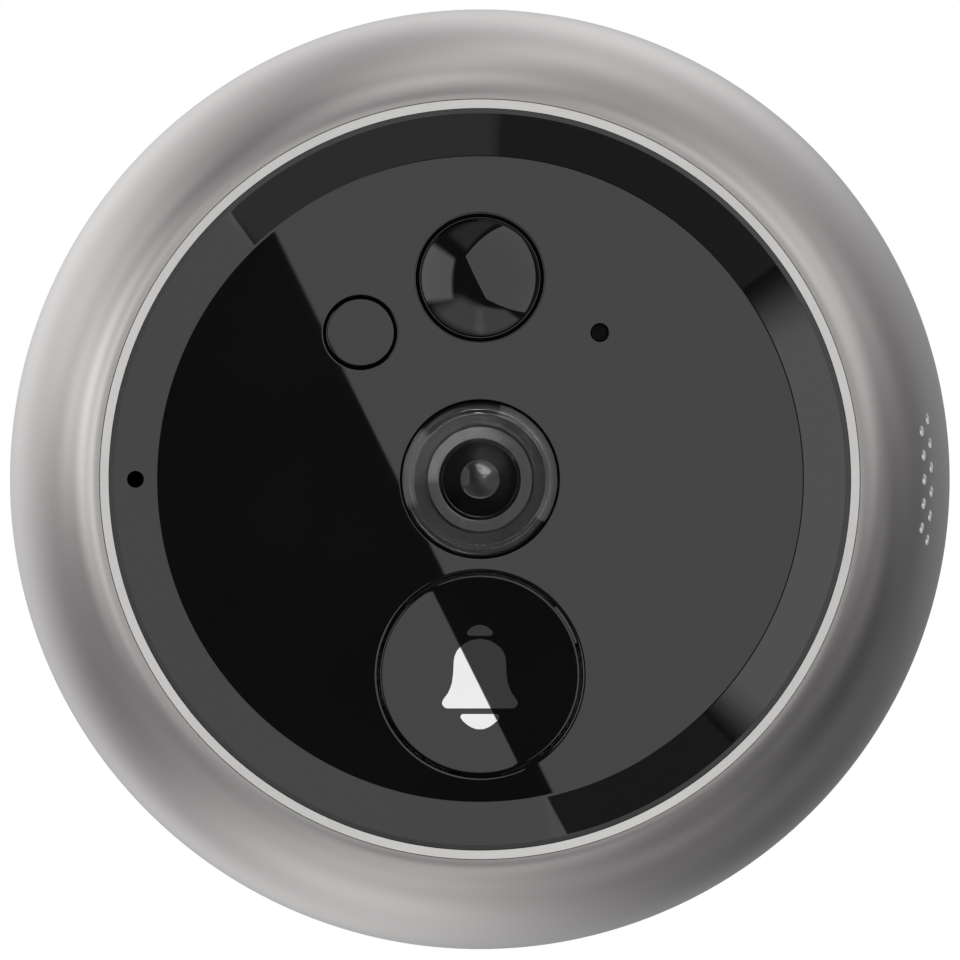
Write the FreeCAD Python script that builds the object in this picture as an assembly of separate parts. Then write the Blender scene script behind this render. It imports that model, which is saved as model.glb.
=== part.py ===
import FreeCAD, Part
import math
import os

# The outdoor unit of a video door phone: a round, battery-free camera head that sits on the outside of a
# door over the peephole. All lengths are in millimetres. The visitor stands on the -Y side and the door is
# on the +Y side, with +Z up. The origin is on the door's surface, on the unit's axis. Heights are counted
# from the door towards the visitor, so a height h lies at y = -h.

Vector = FreeCAD.Vector
OUT_OF_DOOR = Vector(0, -1, 0)
AXIS = (0.0, 0.0)

# Clearances
close_fit = 0.05
loose_fit = 0.15
press_fit = 0.02
over_cut = 1.0

# Layers, from the door to the front
pad_thickness = 1.3
pad_recess = 0.3
cover_thickness = 2.0
space_behind_board = 3.6
board_thickness = 1.0
cover_spigot_height = 2.1
speaker_lift = 0.35
speaker_height = 7.4
speaker_drop = 0.2
flange_thickness = 1.4
frame_thickness = 1.5
tape_thickness = 0.25
panel_thickness = 1.5

back_height = pad_thickness - pad_recess
cover_height = back_height + cover_thickness
board_back = cover_height + space_behind_board
board_front = board_back + board_thickness
speaker_base = cover_height + cover_spigot_height + speaker_lift
flange_back = speaker_base + speaker_height + speaker_drop
frame_back = flange_back + flange_thickness
frame_front = frame_back + frame_thickness
panel_back = frame_front + tape_thickness
panel_front = panel_back + panel_thickness

# Metal housing, and the rings inside it
housing_radius = 34.0
bezel_width = 6.54
trim_width = 0.65
panel_gap = 0.15
trim_outer = housing_radius - bezel_width
trim_inner = trim_outer - trim_width
panel_radius = trim_inner - panel_gap

# Front panel
panel_border = 3.36
panel_rim_rise = 1.35
panel_edge_bevel = 0.36
panel_flat_radius = panel_radius - panel_border

# Trim ring round the panel
trim_depth = 1.45
trim_proud = 0.15
trim_chamfer = 0.12

# Walls of the housing
housing_wall = 1.6
housing_foot_wall = 2.4
cover_ledge = 0.6
shoulder_height = 2.8
foot_chamfer = 0.4
wall_bands = 3
seal_bore = housing_radius - housing_foot_wall
cover_recess = seal_bore + cover_ledge
rim_above_housing = 0.4
housing_front = panel_front + panel_rim_rise - rim_above_housing
crown_radius = trim_outer + close_fit
crown_reach = housing_radius - crown_radius
crown_rise = housing_front - shoulder_height

# Speaker holes in the housing, in two staggered rows
hole_radius = 0.4
hole_pitch = 1.75
hole_row_gap = hole_pitch * math.sqrt(3) / 2
hole_inset = 1.67
inner_hole_count = 5
outer_hole_count = 6
drilled_band = 1.5 * hole_row_gap

# Front frame
flange_overlap = 1.8
flange_inset = 2.4
frame_radius = trim_inner - loose_fit
flange_radius = trim_inner + flange_overlap
flange_bore = frame_radius - flange_inset
seat_depth = 0.5
sleeve_wall = 0.8
lens_tube_length = 4.2
pir_tube_length = 3.0
side_tube_length = 4.0
seal_sleeve_length = 2.5
boot_sleeve_length = 2.4
gusset_clear = 1.5
tube_gap = 0.3

# Places of the features on the front, as (x, z)
lens_place = AXIS
pir_place = (0.0, 14.53)
infrared_place = (-8.63, 10.56)
daylight_place = (8.63, 10.56)
microphone_inset = 1.86
microphone_place = (microphone_inset - frame_radius, 0.0)
button_place = (0.0, -14.08)

# Doorbell button
button_radius = 7.2
button_gap = 0.18
button_edge_bevel = 0.2
button_dish = 0.35
button_wall = 0.95
button_skirt = 1.1
button_roof = 1.2
button_travel = 0.4
panel_mouth_bevel = 0.22
tab_reach = 0.9
tab_width = 3.0
tab_thickness = 0.95
tab_angles = (-90.0, 30.0, 150.0)
guide_radius = button_radius - button_wall - close_fit
guide_thickness = 0.85
guide_stem_radius = 2.2

# Silicone seal under the button
seal_overlap = 0.5
seal_rim_radius = button_radius + seal_overlap
seal_rim_width = 1.1
seal_rim_height = 1.05
seal_web = 0.4
seal_hub_radius = 2.6
seal_hub_height = 1.6
seal_hub_above_frame = 0.15

# Tactile switch under the button
switch_width = 6.2
switch_height = 3.4
plunger_radius = 1.75
plunger_depth = 0.8
button_light_radius = 5.4
button_light_count = 4
chip_light = (1.6, 0.8, 0.6)

# Camera
window_radius = 5.6
window_gap = 0.15
window_bevel = 0.82
window_bevel_rise = 0.62
window_wall = 0.65
window_flange = 0.45
barrel_radius = 3.85
barrel_length = 7.4
barrel_to_window = 1.45
barrel_bore = 2.2
barrel_bevel = 0.15
element_radius = 3.04
element_seat_depth = 1.05
element_rise = 0.6
inner_glass_thickness = 0.9
middle_glass_depth = 3.7
rear_glass_depth = 6.65
shroud_steps = 2
shroud_lip = 0.7
shroud_rake = 1.5
holder_base = 11.0
holder_base_height = 1.8
holder_roof = 0.5
holder_wall = 1.1
holder_drop = 0.95
image_chip = (4.8, 4.8, 0.9)
filter_glass = (5.6, 5.6, 0.3)
filter_overlap = 0.3
holder_radius = barrel_radius + close_fit + holder_wall
lens_tube_radius = holder_radius + tube_gap

# Motion sensor
pir_radius = 4.3
pir_gap = 0.38
pir_sphere = 6.3
pir_flange = 1.0
pir_wall = 0.5
pir_lead_circle = 1.7
pir_seal_sink = 0.45
pir_can_radius = 2.75
pir_can_height = 3.0
pir_can_drop = 0.85
pir_can_rim = 0.35
pir_can_window = (2.6, 1.9)
pir_window_sink = 0.25
pir_tube_radius = 4.0
lead_radius = 0.22

# Infrared window and lamp
infrared_radius = 2.46
infrared_gap = 0.2
infrared_flange = 0.75
lamp_radius = 1.5
lamp_rim = 0.4
lamp_rim_height = 0.9
lamp_drop = 0.65
lamp_stand = 1.0
lamp_lead_circle = 1.27
lamp_nose = 0.7

# Daylight sensor behind a light pipe
pipe_radius = 0.58
pipe_hole = 0.65
pipe_foot_radius = 0.9
pipe_flange_radius = 1.6
pipe_sink = 0.6
daylight_chip = (2.0, 1.6, 0.8)

# Microphone
sound_hole = 0.61
microphone_radius = 2.0
microphone_height = 1.6
boot_wall = 0.6
boot_front = 0.8
microphone_lead_places = ((1.5, -0.8), (1.5, 0.8))

# Speaker
speaker_length = 15.0
speaker_thickness = 3.8
speaker_clear = 0.775
speaker_round = 1.2
speaker_rim = 0.9
speaker_wall = 1.0
cone_sink = 0.5
gasket_wall = 0.8
gasket_drop = 0.65
gasket_top = frame_back - gasket_drop
mesh_thickness = 0.15
mesh_length = 12.8
mesh_height = 2.9

# Main circuit board
board_margin = 2.66
board_flat_gap = 1.1
board_radius = frame_radius - board_margin
top_screw_inset = 2.5
side_screw_inset = 5.6
side_screw_drop = 2.0
board_screw_places = (
    (side_screw_inset - board_radius, -side_screw_drop),
    (board_radius - side_screw_inset, -side_screw_drop),
    (0.0, board_radius - top_screw_inset),
)
board_post_radius = 1.9
shield_box = (13.0, 12.0, 1.5)
shield_place = (0.0, -14.3)
rear_chips = (
    ((-13.2, 3.6), (7.0, 7.0, 1.0)),
    ((-13.5, -6.5), (5.0, 6.0, 1.1)),
    ((13.0, -7.0), (5.0, 5.0, 1.0)),
    ((13.6, 6.6), (4.6, 4.6, 1.6)),
)
connector_place = (0.0, 10.9)
connector_box = (9.0, 4.2, 2.2)
connector_wall = 0.6

# Rear screws that hold cover, frame and housing together
screw_inset = 5.06
screw_place_radius = frame_radius - screw_inset
screw_angles = (45.0, 135.0, 225.0, 315.0)
screw_radius = 1.1
screw_head_radius = 1.9
screw_head_height = 1.1
screw_grip = 6.0
screw_post_radius = 2.5
board_screw_radius = 0.8
board_head_radius = 1.5
board_head_height = 0.8
board_screw_grip = 3.2
screw_hole_spare = 0.5

# Rear cover
cover_gap = 0.1
cover_spigot_wall = 1.8
groove_width = 1.2
groove_depth = 0.8
groove_step = 0.5
rib_thickness = 1.0
rib_height = 0.9
rib_count = 8
rib_bite = 0.5
boss_radius = 8.0
boss_height = 1.9

# Door fixings and cable passage
insert_spacing = 10.8
insert_radius = 1.95
insert_bore = 1.25
insert_length = 3.3
insert_spare = 0.3
grommet_radius = 2.75
cable_bore = 2.1
grommet_flange = 0.45
grommet_lip = 0.5

# Foam pad on the door
pad_margin = 1.0
pad_width = 5.6
pad_outer = cover_recess - pad_margin
pad_inner = pad_outer - pad_width

# Spring contacts from the speaker to the board
contact_width = 1.2
contact_thickness = 0.25
contact_spread = 2.4
contact_overlap = 1.1
contact_upright = 1.6


def spot(radius, height):
    """A point of a turned section, from its radius and its height above the door."""
    return Vector(radius, -height, 0)


class Section:
    """A closed outline of radius against height, turned about a line that leaves the door square."""

    def __init__(self, radius, height):
        self.first = spot(radius, height)
        self.pen = self.first
        self.edges = []

    def to(self, radius, height):
        """A straight edge to a new point."""
        end = spot(radius, height)
        self.edges.append(Part.LineSegment(self.pen, end).toShape())
        self.pen = end
        return self

    def dome(self, radius, height):
        """A round edge to a new point, about a centre on the axis, so that it sweeps part of a ball."""
        start_radius, start_height = self.pen.x, -self.pen.y
        drop = height - start_height
        centre = (height + start_height + (radius ** 2 - start_radius ** 2) / drop) / 2
        ball = math.hypot(radius, height - centre)
        start_angle = math.atan2(start_radius, start_height - centre)
        middle = (start_angle + math.atan2(radius, height - centre)) / 2
        tip = spot(radius, height)
        top = spot(ball * math.sin(middle), centre + ball * math.cos(middle))
        self.edges.append(Part.Arc(self.pen, top, tip).toShape())
        self.pen = tip
        return self

    def crown(self, curve, start, stop):
        """A stretch of an ellipse, between two of its angles from the crown."""
        low, high = sorted((start, stop))
        self.edges.append(Part.ArcOfEllipse(curve.shape(), low, high).toShape())
        self.pen = spot(*curve.at(stop))
        return self

    def turned(self, place=AXIS):
        """The solid that the outline sweeps, moved to its place on the front."""
        if self.pen.distanceToPoint(self.first) > 1e-6:
            self.edges.append(Part.LineSegment(self.pen, self.first).toShape())
        face = Part.Face(Part.Wire(self.edges))
        solid = face.revolve(Vector(), Vector(0, 1, 0), 360)
        solid.translate(Vector(place[0], 0, place[1]))
        return solid


class Crown:
    """A quarter ellipse in a section, highest at its centre's radius and widest at its centre's height."""

    def __init__(self, radius, height, reach, rise):
        self.radius = radius
        self.height = height
        self.reach = reach
        self.rise = rise

    def at(self, angle):
        """The point at an angle from the crown, as radius and height."""
        return (self.radius + self.reach * math.sin(angle), self.height + self.rise * math.cos(angle))

    def shape(self):
        """The whole ellipse, whose rise is more than its reach."""
        top = spot(self.radius, self.height + self.rise)
        side = spot(self.radius + self.reach, self.height)
        return Part.Ellipse(top, side, spot(self.radius, self.height))

    def angle_at_radius(self, radius):
        """The angle at which the ellipse has this radius."""
        return math.asin((radius - self.radius) / self.reach)

    def angle_at_height(self, height):
        """The angle at which the ellipse has this height."""
        return math.acos((height - self.height) / self.rise)

    def normal(self, angle):
        """The outward direction at an angle, as radius and height."""
        along_radius = self.rise * math.sin(angle)
        along_height = self.reach * math.cos(angle)
        size = math.hypot(along_radius, along_height)
        return (along_radius / size, along_height / size)

    def speed(self, angle):
        """Length of surface for each radian of the angle."""
        return math.hypot(self.reach * math.cos(angle), self.rise * math.sin(angle))


OUTSIDE = Crown(crown_radius, shoulder_height, crown_reach, crown_rise)


def rod(radius, low, high, place=AXIS):
    """A round bar between two heights."""
    return Part.makeCylinder(radius, high - low, Vector(place[0], -low, place[1]), OUT_OF_DOOR)


def tube(outer, inner, low, high, place=AXIS):
    """A round bar with a bore."""
    return rod(outer, low, high, place).cut(rod(inner, low - over_cut, high + over_cut, place))


def block(size, low, high, place=AXIS):
    """A box centred on a place, from its width along x and along z."""
    corner = Vector(place[0] - size[0] / 2, -high, place[1] - size[1] / 2)
    return Part.makeBox(size[0], high - low, size[1], corner)


def chip(size, low, place):
    """A box that stands on a height, from its width, length and thickness."""
    return block(size, low, low + size[2], place)


def upright_block(left, right, length, height, middle):
    """A box between two places along x, from its length along z and its height about a middle height."""
    return Part.makeBox(right - left, height, length, Vector(left, -(middle + height / 2), -length / 2))


def fused(shapes):
    """One solid from several that meet."""
    return shapes[0].multiFuse(shapes[1:]).removeSplitter()


def without(shape, tools):
    """A shape with all the tools cut out of it."""
    return shape.cut(Part.makeCompound(tools))


def moved(place, offset):
    """A place shifted by another."""
    return (place[0] + offset[0], place[1] + offset[1])


def polar(radius, degrees):
    """A place from its radius and its angle from +X towards +Z."""
    angle = math.radians(degrees)
    return (radius * math.cos(angle), radius * math.sin(angle))


def around(count, radius, first_angle=0.0):
    """Places evenly spaced on a circle about the axis."""
    return [polar(radius, first_angle + 360.0 * k / count) for k in range(count)]


def screw_places():
    """The four places of the rear screws."""
    return [polar(screw_place_radius, a) for a in screw_angles]


def pir_lead_places():
    """The three leads of the motion sensor."""
    return [moved(pir_place, offset) for offset in around(3, pir_lead_circle, 90.0)]


def lamp_lead_places():
    """The two leads of the infrared lamp."""
    return [moved(infrared_place, offset) for offset in around(2, lamp_lead_circle)]


def microphone_leads():
    """The two leads of the microphone, towards the unit's middle."""
    return [moved(microphone_place, offset) for offset in microphone_lead_places]


def insert_places():
    """The two places of the threaded inserts, side by side on the boss."""
    return [(-insert_spacing / 2, 0.0), (insert_spacing / 2, 0.0)]


def wall_points(clearance=0.0):
    """Corners of the housing's banded inner wall, from its foot to its brow, as radius and height."""
    wall = housing_wall + clearance
    inside = Crown(crown_radius, shoulder_height, crown_reach - wall, crown_rise - wall)
    foot = inside.angle_at_radius(seal_bore - clearance)
    brow = inside.angle_at_height(frame_back)
    return [inside.at(foot + (brow - foot) * k / wall_bands) for k in range(wall_bands + 1)]


def wall_radius(height):
    """Radius of the housing's inner wall at a height."""
    points = wall_points()
    for (low_radius, low), (high_radius, high) in zip(points, points[1:]):
        if height <= high:
            break
    return low_radius + (high_radius - low_radius) * (height - low) / (high - low)


def speaker_front():
    """How far out the speaker's face stands, with its upper corners clear of the housing's wall."""
    wall = wall_radius(speaker_base + speaker_height)
    return math.sqrt(wall ** 2 - (speaker_length / 2) ** 2) - speaker_clear


# Sizes that follow from the housing's wall
speaker_left = speaker_front() - speaker_thickness
board_flat = speaker_left - speaker_wall - board_flat_gap


def cavity(clearance=0.0):
    """The space inside the housing, from the cover's seat to the lip, with a plain banded wall."""
    section = Section(0, cover_height).to(seal_bore - clearance, cover_height)
    for radius, height in wall_points(clearance):
        section.to(radius, height)
    return section.to(0, frame_back).turned()


def speaker_hole_tools():
    """Drills for the two staggered rows of speaker holes, each square to the housing's surface."""
    middle = OUTSIDE.angle_at_radius(housing_radius - hole_inset)
    half_row = hole_row_gap / 2 / OUTSIDE.speed(middle)
    tools = []
    for count, angle in ((inner_hole_count, middle - half_row), (outer_hole_count, middle + half_row)):
        radius, height = OUTSIDE.at(angle)
        out_radius, out_height = OUTSIDE.normal(angle)
        depth = 2 * housing_wall
        for k in range(count):
            turn = (k - (count - 1) / 2) * hole_pitch / radius
            across = Vector(math.cos(turn), 0, math.sin(turn))
            start = across * (radius - depth * out_radius) + Vector(0, -(height - depth * out_height), 0)
            direction = across * out_radius + Vector(0, -out_height, 0)
            tools.append(Part.makeCylinder(hole_radius, depth + over_cut, start, direction))
    return tools


def housing_ring():
    """Die-cast ring with a domed outside, a lip for the trim and frame, and the speaker holes."""
    foot = housing_radius - foot_chamfer
    drilled = OUTSIDE.angle_at_radius(housing_radius - hole_inset)
    margin = drilled_band / OUTSIDE.speed(drilled)
    outside = Section(0, back_height).to(foot, back_height).to(housing_radius, back_height + foot_chamfer)
    outside.to(housing_radius, shoulder_height).crown(OUTSIDE, math.pi / 2, drilled + margin)
    outside.crown(OUTSIDE, drilled + margin, drilled - margin).crown(OUTSIDE, drilled - margin, 0)
    outside.to(0, housing_front)
    ledge = housing_front - trim_depth
    tools = [
        cavity(),
        rod(cover_recess, back_height - over_cut, cover_height),
        rod(trim_inner, frame_back - over_cut, housing_front + over_cut),
        rod(crown_radius, ledge, housing_front + over_cut),
    ]
    return without(outside.turned(), tools + speaker_hole_tools())


def trim_ring():
    """Bright ring pressed into the housing's lip round the panel."""
    low = housing_front - trim_depth
    high = housing_front + trim_proud
    section = Section(trim_inner, low).to(trim_outer, low).to(trim_outer, high - trim_chamfer)
    section.to(trim_outer - trim_chamfer, high).to(trim_inner + trim_chamfer, high)
    return section.to(trim_inner, high - trim_chamfer).turned()


def button_mouth():
    """The cutter of the panel's button hole, with its bevelled mouth."""
    hole = button_radius + button_gap
    mouth = hole + panel_mouth_bevel
    section = Section(0, panel_back - over_cut).to(hole, panel_back - over_cut)
    section.to(hole, panel_front - panel_mouth_bevel).to(mouth, panel_front)
    return section.to(mouth, panel_front + over_cut).to(0, panel_front + over_cut).turned(button_place)


def front_panel():
    """Gloss black face: a flat disc in a raised sloping border, with the openings of every front feature."""
    edge_height = panel_front + panel_rim_rise
    section = Section(0, panel_back).to(panel_radius, panel_back)
    section.to(panel_radius, edge_height - panel_edge_bevel)
    section.to(panel_radius - panel_edge_bevel, edge_height).to(panel_flat_radius, panel_front)
    openings = (
        (window_radius + window_gap, lens_place),
        (pir_radius + pir_gap, pir_place),
        (infrared_radius + infrared_gap, infrared_place),
        (pipe_hole, daylight_place),
        (sound_hole, microphone_place),
    )
    low = panel_back - over_cut
    high = edge_height + over_cut
    tools = [rod(radius, low, high, place) for radius, place in openings]
    return without(section.to(0, panel_front).turned(), tools + [button_mouth()])


def seat_radii():
    """Radius and place of each flange seat in the frame's front."""
    return (
        (window_radius + window_flange + close_fit, lens_place),
        (pir_radius + pir_flange + close_fit, pir_place),
        (infrared_radius + infrared_flange + close_fit, infrared_place),
        (pipe_flange_radius + close_fit, daylight_place),
    )


def tab_blocks(length, width, low, high):
    """Blocks that stand out from the button's wall at its three tab angles."""
    root = button_radius - button_wall / 2
    blocks = []
    for angle in tab_angles:
        tab = Part.makeBox(length - root, high - low, width, Vector(root, -high, -width / 2))
        tab.rotate(Vector(), Vector(0, 1, 0), -angle)
        tab.translate(Vector(button_place[0], 0, button_place[1]))
        blocks.append(tab)
    return blocks


def panel_tape():
    """Double-sided tape that bonds the panel to the frame, cut away round every opening."""
    tools = [rod(radius + loose_fit, frame_front - over_cut, panel_back + over_cut, place)
             for radius, place in seat_radii()]
    tab_room = button_radius + tab_reach + 2 * loose_fit
    tools.append(rod(tab_room, frame_front - over_cut, panel_back + over_cut, button_place))
    tools.append(rod(2 * sound_hole, frame_front - over_cut, panel_back + over_cut, microphone_place))
    return without(rod(frame_radius - loose_fit, frame_front, panel_back), tools)


def speaker_pocket():
    """The wall and ears on the frame that hold the speaker from behind."""
    left = speaker_left - speaker_wall
    length = speaker_length + 2 * loose_fit + 2 * speaker_wall
    middle = left + (speaker_wall + speaker_thickness / 2) / 2
    depth = speaker_wall + speaker_thickness / 2
    shell = block((depth, length), speaker_base, frame_back, (middle, 0.0))
    tools = [block((depth, speaker_length + 2 * loose_fit), speaker_base - over_cut, flange_back,
                   (middle + speaker_wall, 0.0))]
    notch = board_front + contact_upright + 2 * loose_fit
    for across in contact_places():
        tools.append(block((depth, contact_width + 4 * loose_fit), speaker_base - over_cut, notch,
                           (middle - depth / 2, across)))
    return without(shell, tools)


def front_frame():
    """Moulded frame behind the panel: plate, flange, tubes, button sleeve, posts and speaker pocket."""
    post_foot = cover_height + close_fit
    boot_radius = microphone_radius + boot_wall
    solids = [
        rod(frame_radius, frame_back, frame_front),
        tube(flange_radius, flange_bore, flange_back, frame_back),
        rod(lens_tube_radius + sleeve_wall, frame_back - lens_tube_length, frame_back, lens_place),
        rod(pir_tube_radius + sleeve_wall, frame_back - pir_tube_length, frame_back, pir_place),
        rod(lamp_radius + lamp_rim + sleeve_wall, frame_back - side_tube_length, frame_back, infrared_place),
        rod(pipe_foot_radius + sleeve_wall, frame_back - side_tube_length, frame_back, daylight_place),
        rod(seal_rim_radius + sleeve_wall, frame_back - seal_sleeve_length, frame_back, button_place),
        rod(boot_radius + sleeve_wall, frame_back - boot_sleeve_length, frame_back, microphone_place),
        speaker_pocket(),
    ]
    for place in screw_places():
        solids.append(rod(screw_post_radius, post_foot, frame_back, place))
    for place in board_screw_places:
        solids.append(rod(board_post_radius, board_front + close_fit, frame_back, place))
    for angle in screw_angles:
        rise = frame_back - board_front - gusset_clear
        gusset = Part.makeBox(flange_bore - screw_place_radius, rise, sleeve_wall,
                              Vector(screw_place_radius, -frame_back, -sleeve_wall / 2))
        gusset.rotate(Vector(), Vector(0, 1, 0), -angle)
        solids.append(gusset)
    low = -over_cut
    high = frame_front + over_cut
    through_tabs = button_radius + tab_reach + 2 * loose_fit
    tools = [rod(radius, frame_front - seat_depth, high, place) for radius, place in seat_radii()]
    tools += [
        rod(window_radius - window_wall + close_fit, low, high, lens_place),
        rod(lens_tube_radius, low, frame_back, lens_place),
        rod(pir_tube_radius, low, high, pir_place),
        rod(lamp_radius + lamp_rim + close_fit, low, high, infrared_place),
        rod(pipe_foot_radius + close_fit, low, high, daylight_place),
        rod(button_radius + button_gap, low, high, button_place),
        rod(seal_rim_radius + close_fit, low, frame_back, button_place),
        rod(sound_hole, low, high, microphone_place),
        rod(boot_radius + close_fit, low, frame_back, microphone_place),
    ]
    tools += tab_blocks(through_tabs, tab_width + 4 * loose_fit, frame_back - over_cut, high)
    for place in screw_places():
        high_end = cover_height + screw_grip + screw_hole_spare
        tools.append(rod(screw_radius + press_fit, low, high_end, place))
    for place in board_screw_places:
        high_end = board_front + board_screw_grip + screw_hole_spare
        tools.append(rod(board_screw_radius + press_fit, low, high_end, place))
    return without(fused(solids), tools)


def lens_cover():
    """Clear cover over the camera: a flat-fronted cup with a bevelled shoulder and a flange."""
    foot = frame_front - seat_depth + close_fit
    flange_top = panel_back - close_fit
    face = panel_front + window_bevel_rise
    inner = window_radius - window_wall
    section = Section(inner, foot).to(window_radius + window_flange, foot)
    section.to(window_radius + window_flange, flange_top).to(window_radius, flange_top)
    section.to(window_radius, panel_front).to(window_radius - window_bevel, face).to(0, face)
    section.to(0, face - window_wall).to(inner - window_bevel, face - window_wall)
    return section.to(inner, panel_front - window_wall / 2).turned(lens_place)


def barrel_front():
    """Height of the lens barrel's front face."""
    return panel_front + window_bevel_rise - barrel_to_window


def lens_shroud():
    """Stepped black baffle between the lens barrel and the cover."""
    outer = window_radius - window_wall - close_fit
    bore = barrel_radius + 2 * close_fit
    shoulder = lens_tube_radius - close_fit
    tread = (outer - bore) / (shroud_steps + 1)
    height = barrel_front() - close_fit
    section = Section(bore, frame_back - shroud_lip).to(shoulder, frame_back - shroud_lip)
    section.to(shoulder, frame_back - close_fit).to(outer, frame_back - close_fit).to(outer, height)
    for k in range(1, shroud_steps + 1):
        section.to(outer - k * tread, height)
        height -= shroud_rake * tread
        section.to(outer - k * tread, height)
    return section.to(bore, height).turned(lens_place)


def lens_barrel():
    """Tube that carries the camera's glass, with a seat for the front element."""
    top = barrel_front()
    seat = top - element_seat_depth
    section = Section(barrel_bore, top - barrel_length).to(barrel_radius, top - barrel_length)
    section.to(barrel_radius, top - barrel_bevel).to(barrel_radius - barrel_bevel, top)
    section.to(element_radius, top)
    return section.to(element_radius, seat).to(barrel_bore, seat).turned(lens_place)


def lens_front_element():
    """Front glass, domed towards the visitor."""
    radius = element_radius - close_fit
    seat = barrel_front() - element_seat_depth + close_fit
    rim = barrel_front() - close_fit
    section = Section(0, seat).to(radius, seat).to(radius, rim)
    return section.dome(0, rim + element_rise).turned(lens_place)


def lens_inner_elements():
    """Two inner glasses further down the barrel."""
    radius = barrel_bore - close_fit
    feet = [barrel_front() - depth for depth in (middle_glass_depth, rear_glass_depth)]
    glasses = [rod(radius, foot, foot + inner_glass_thickness, lens_place) for foot in feet]
    return Part.makeCompound(glasses)


def lens_holder():
    """Holder on the board: a square base over the image chip and a round neck for the barrel."""
    neck_top = frame_back - holder_drop
    base_top = board_front + holder_base_height
    barrel_foot = barrel_front() - barrel_length - close_fit
    body = fused([
        block((holder_base, holder_base), board_front, base_top, lens_place),
        rod(holder_radius, base_top - over_cut, neck_top, lens_place),
    ])
    room = filter_glass[0] + 4 * close_fit
    tools = [
        block((room, room), board_front - over_cut, base_top - holder_roof, lens_place),
        rod(filter_glass[0] / 2 - filter_overlap, board_front, neck_top + over_cut, lens_place),
        rod(barrel_radius + close_fit, barrel_foot, neck_top + over_cut, lens_place),
    ]
    return without(body, tools)


def filter_pane():
    """Infrared filter glass under the holder's aperture."""
    top = board_front + holder_base_height - holder_roof - close_fit
    return block(filter_glass, top - filter_glass[2], top, lens_place)


def image_sensor():
    """Image chip on the board."""
    return chip(image_chip, board_front, lens_place)


def pir_lens():
    """Domed motion-sensor lens with a flange held under the panel."""
    foot = frame_front - seat_depth + close_fit
    flange_top = panel_back - close_fit
    rim = panel_front + close_fit
    rise = pir_sphere - math.sqrt(pir_sphere ** 2 - pir_radius ** 2)
    inner = pir_radius - pir_wall
    section = Section(inner, foot).to(pir_radius + pir_flange, foot)
    section.to(pir_radius + pir_flange, flange_top).to(pir_radius, flange_top).to(pir_radius, rim)
    section.dome(0, rim + rise).to(0, rim + rise - pir_wall).to(inner / 2, rim + rise - 2 * pir_wall)
    return section.to(inner, rim).turned(pir_place)


def pir_seal():
    """Black rubber ring between the dome and the panel."""
    outer = pir_radius + pir_gap - close_fit
    inner = pir_radius + close_fit
    return tube(outer, inner, panel_back, panel_front - pir_seal_sink, pir_place)


def pir_sensor():
    """Metal-can motion sensor on three leads."""
    top = frame_back - pir_can_drop
    foot = top - pir_can_height
    can = fused([
        rod(pir_can_radius + pir_can_rim, foot, foot + pir_can_rim, pir_place),
        rod(pir_can_radius, foot, top, pir_place),
    ])
    window = block(pir_can_window, top - pir_window_sink, top + over_cut, pir_place)
    leads = [rod(lead_radius, board_front, foot, place) for place in pir_lead_places()]
    return fused([can.cut(window)] + leads)


def infrared_window():
    """Flush dark window over the infrared lamp."""
    foot = frame_front - seat_depth + close_fit
    flange_top = panel_back - close_fit
    section = Section(0, foot).to(infrared_radius + infrared_flange, foot)
    section.to(infrared_radius + infrared_flange, flange_top).to(infrared_radius, flange_top)
    return section.to(infrared_radius, panel_front).to(0, panel_front).turned(infrared_place)


def infrared_lamp():
    """Infrared lamp with a tapered nose, on two leads."""
    foot = board_front + lamp_stand
    top = frame_back - lamp_drop
    rim = lamp_radius + lamp_rim
    step = foot + lamp_rim_height
    body = Section(0, foot).to(rim, foot).to(rim, step).to(lamp_radius, step)
    body.to(lamp_radius, top - lamp_nose).to(lamp_radius - lamp_nose, top).to(0, top)
    leads = [rod(lead_radius, board_front, foot, place) for place in lamp_lead_places()]
    return fused([body.turned(infrared_place)] + leads)


def light_pipe():
    """Clear pipe that carries daylight from the panel's small hole to the board."""
    foot = board_front + daylight_chip[2] + close_fit
    flange_low = frame_front - seat_depth + close_fit
    top = panel_front - pipe_sink
    section = Section(0, foot).to(pipe_foot_radius, foot).to(pipe_foot_radius, flange_low)
    section.to(pipe_flange_radius, flange_low).to(pipe_flange_radius, frame_front)
    section.to(pipe_radius, frame_front).to(pipe_radius, top).to(0, top)
    return section.turned(daylight_place)


def daylight_sensor():
    """Daylight chip under the light pipe."""
    return chip(daylight_chip, board_front, daylight_place)


def microphone():
    """Microphone capsule in its rubber boot, on two leads."""
    top = frame_back - close_fit - boot_front - close_fit
    foot = top - microphone_height
    leads = [rod(lead_radius, board_front, foot, place) for place in microphone_leads()]
    return fused([rod(microphone_radius, foot, top, microphone_place)] + leads)


def microphone_boot():
    """Rubber boot that leads the sound hole to the microphone."""
    top = frame_back - close_fit
    foot = top - boot_front - microphone_height - 2 * close_fit
    outer = microphone_radius + boot_wall
    inner = microphone_radius + close_fit
    section = Section(inner, foot).to(outer, foot).to(outer, top).to(sound_hole, top)
    return section.to(sound_hole, top - boot_front).to(inner, top - boot_front).turned(microphone_place)


def main_board():
    """Round circuit board with a flat beside the speaker, and holes for posts and screws."""
    low = board_back - over_cut
    high = board_front + over_cut
    tools = [block((board_radius, 2 * board_radius), low, high, (board_flat + board_radius / 2, 0.0))]
    tools += [rod(screw_post_radius + 2 * loose_fit, low, high, place) for place in screw_places()]
    tools += [rod(board_screw_radius + loose_fit, low, high, place) for place in board_screw_places]
    return without(rod(board_radius, board_back, board_front), tools)


def processor_shield():
    """Pressed metal shield over the processor, on the board's rear."""
    return block(shield_box, board_back - shield_box[2], board_back, shield_place)


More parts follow.
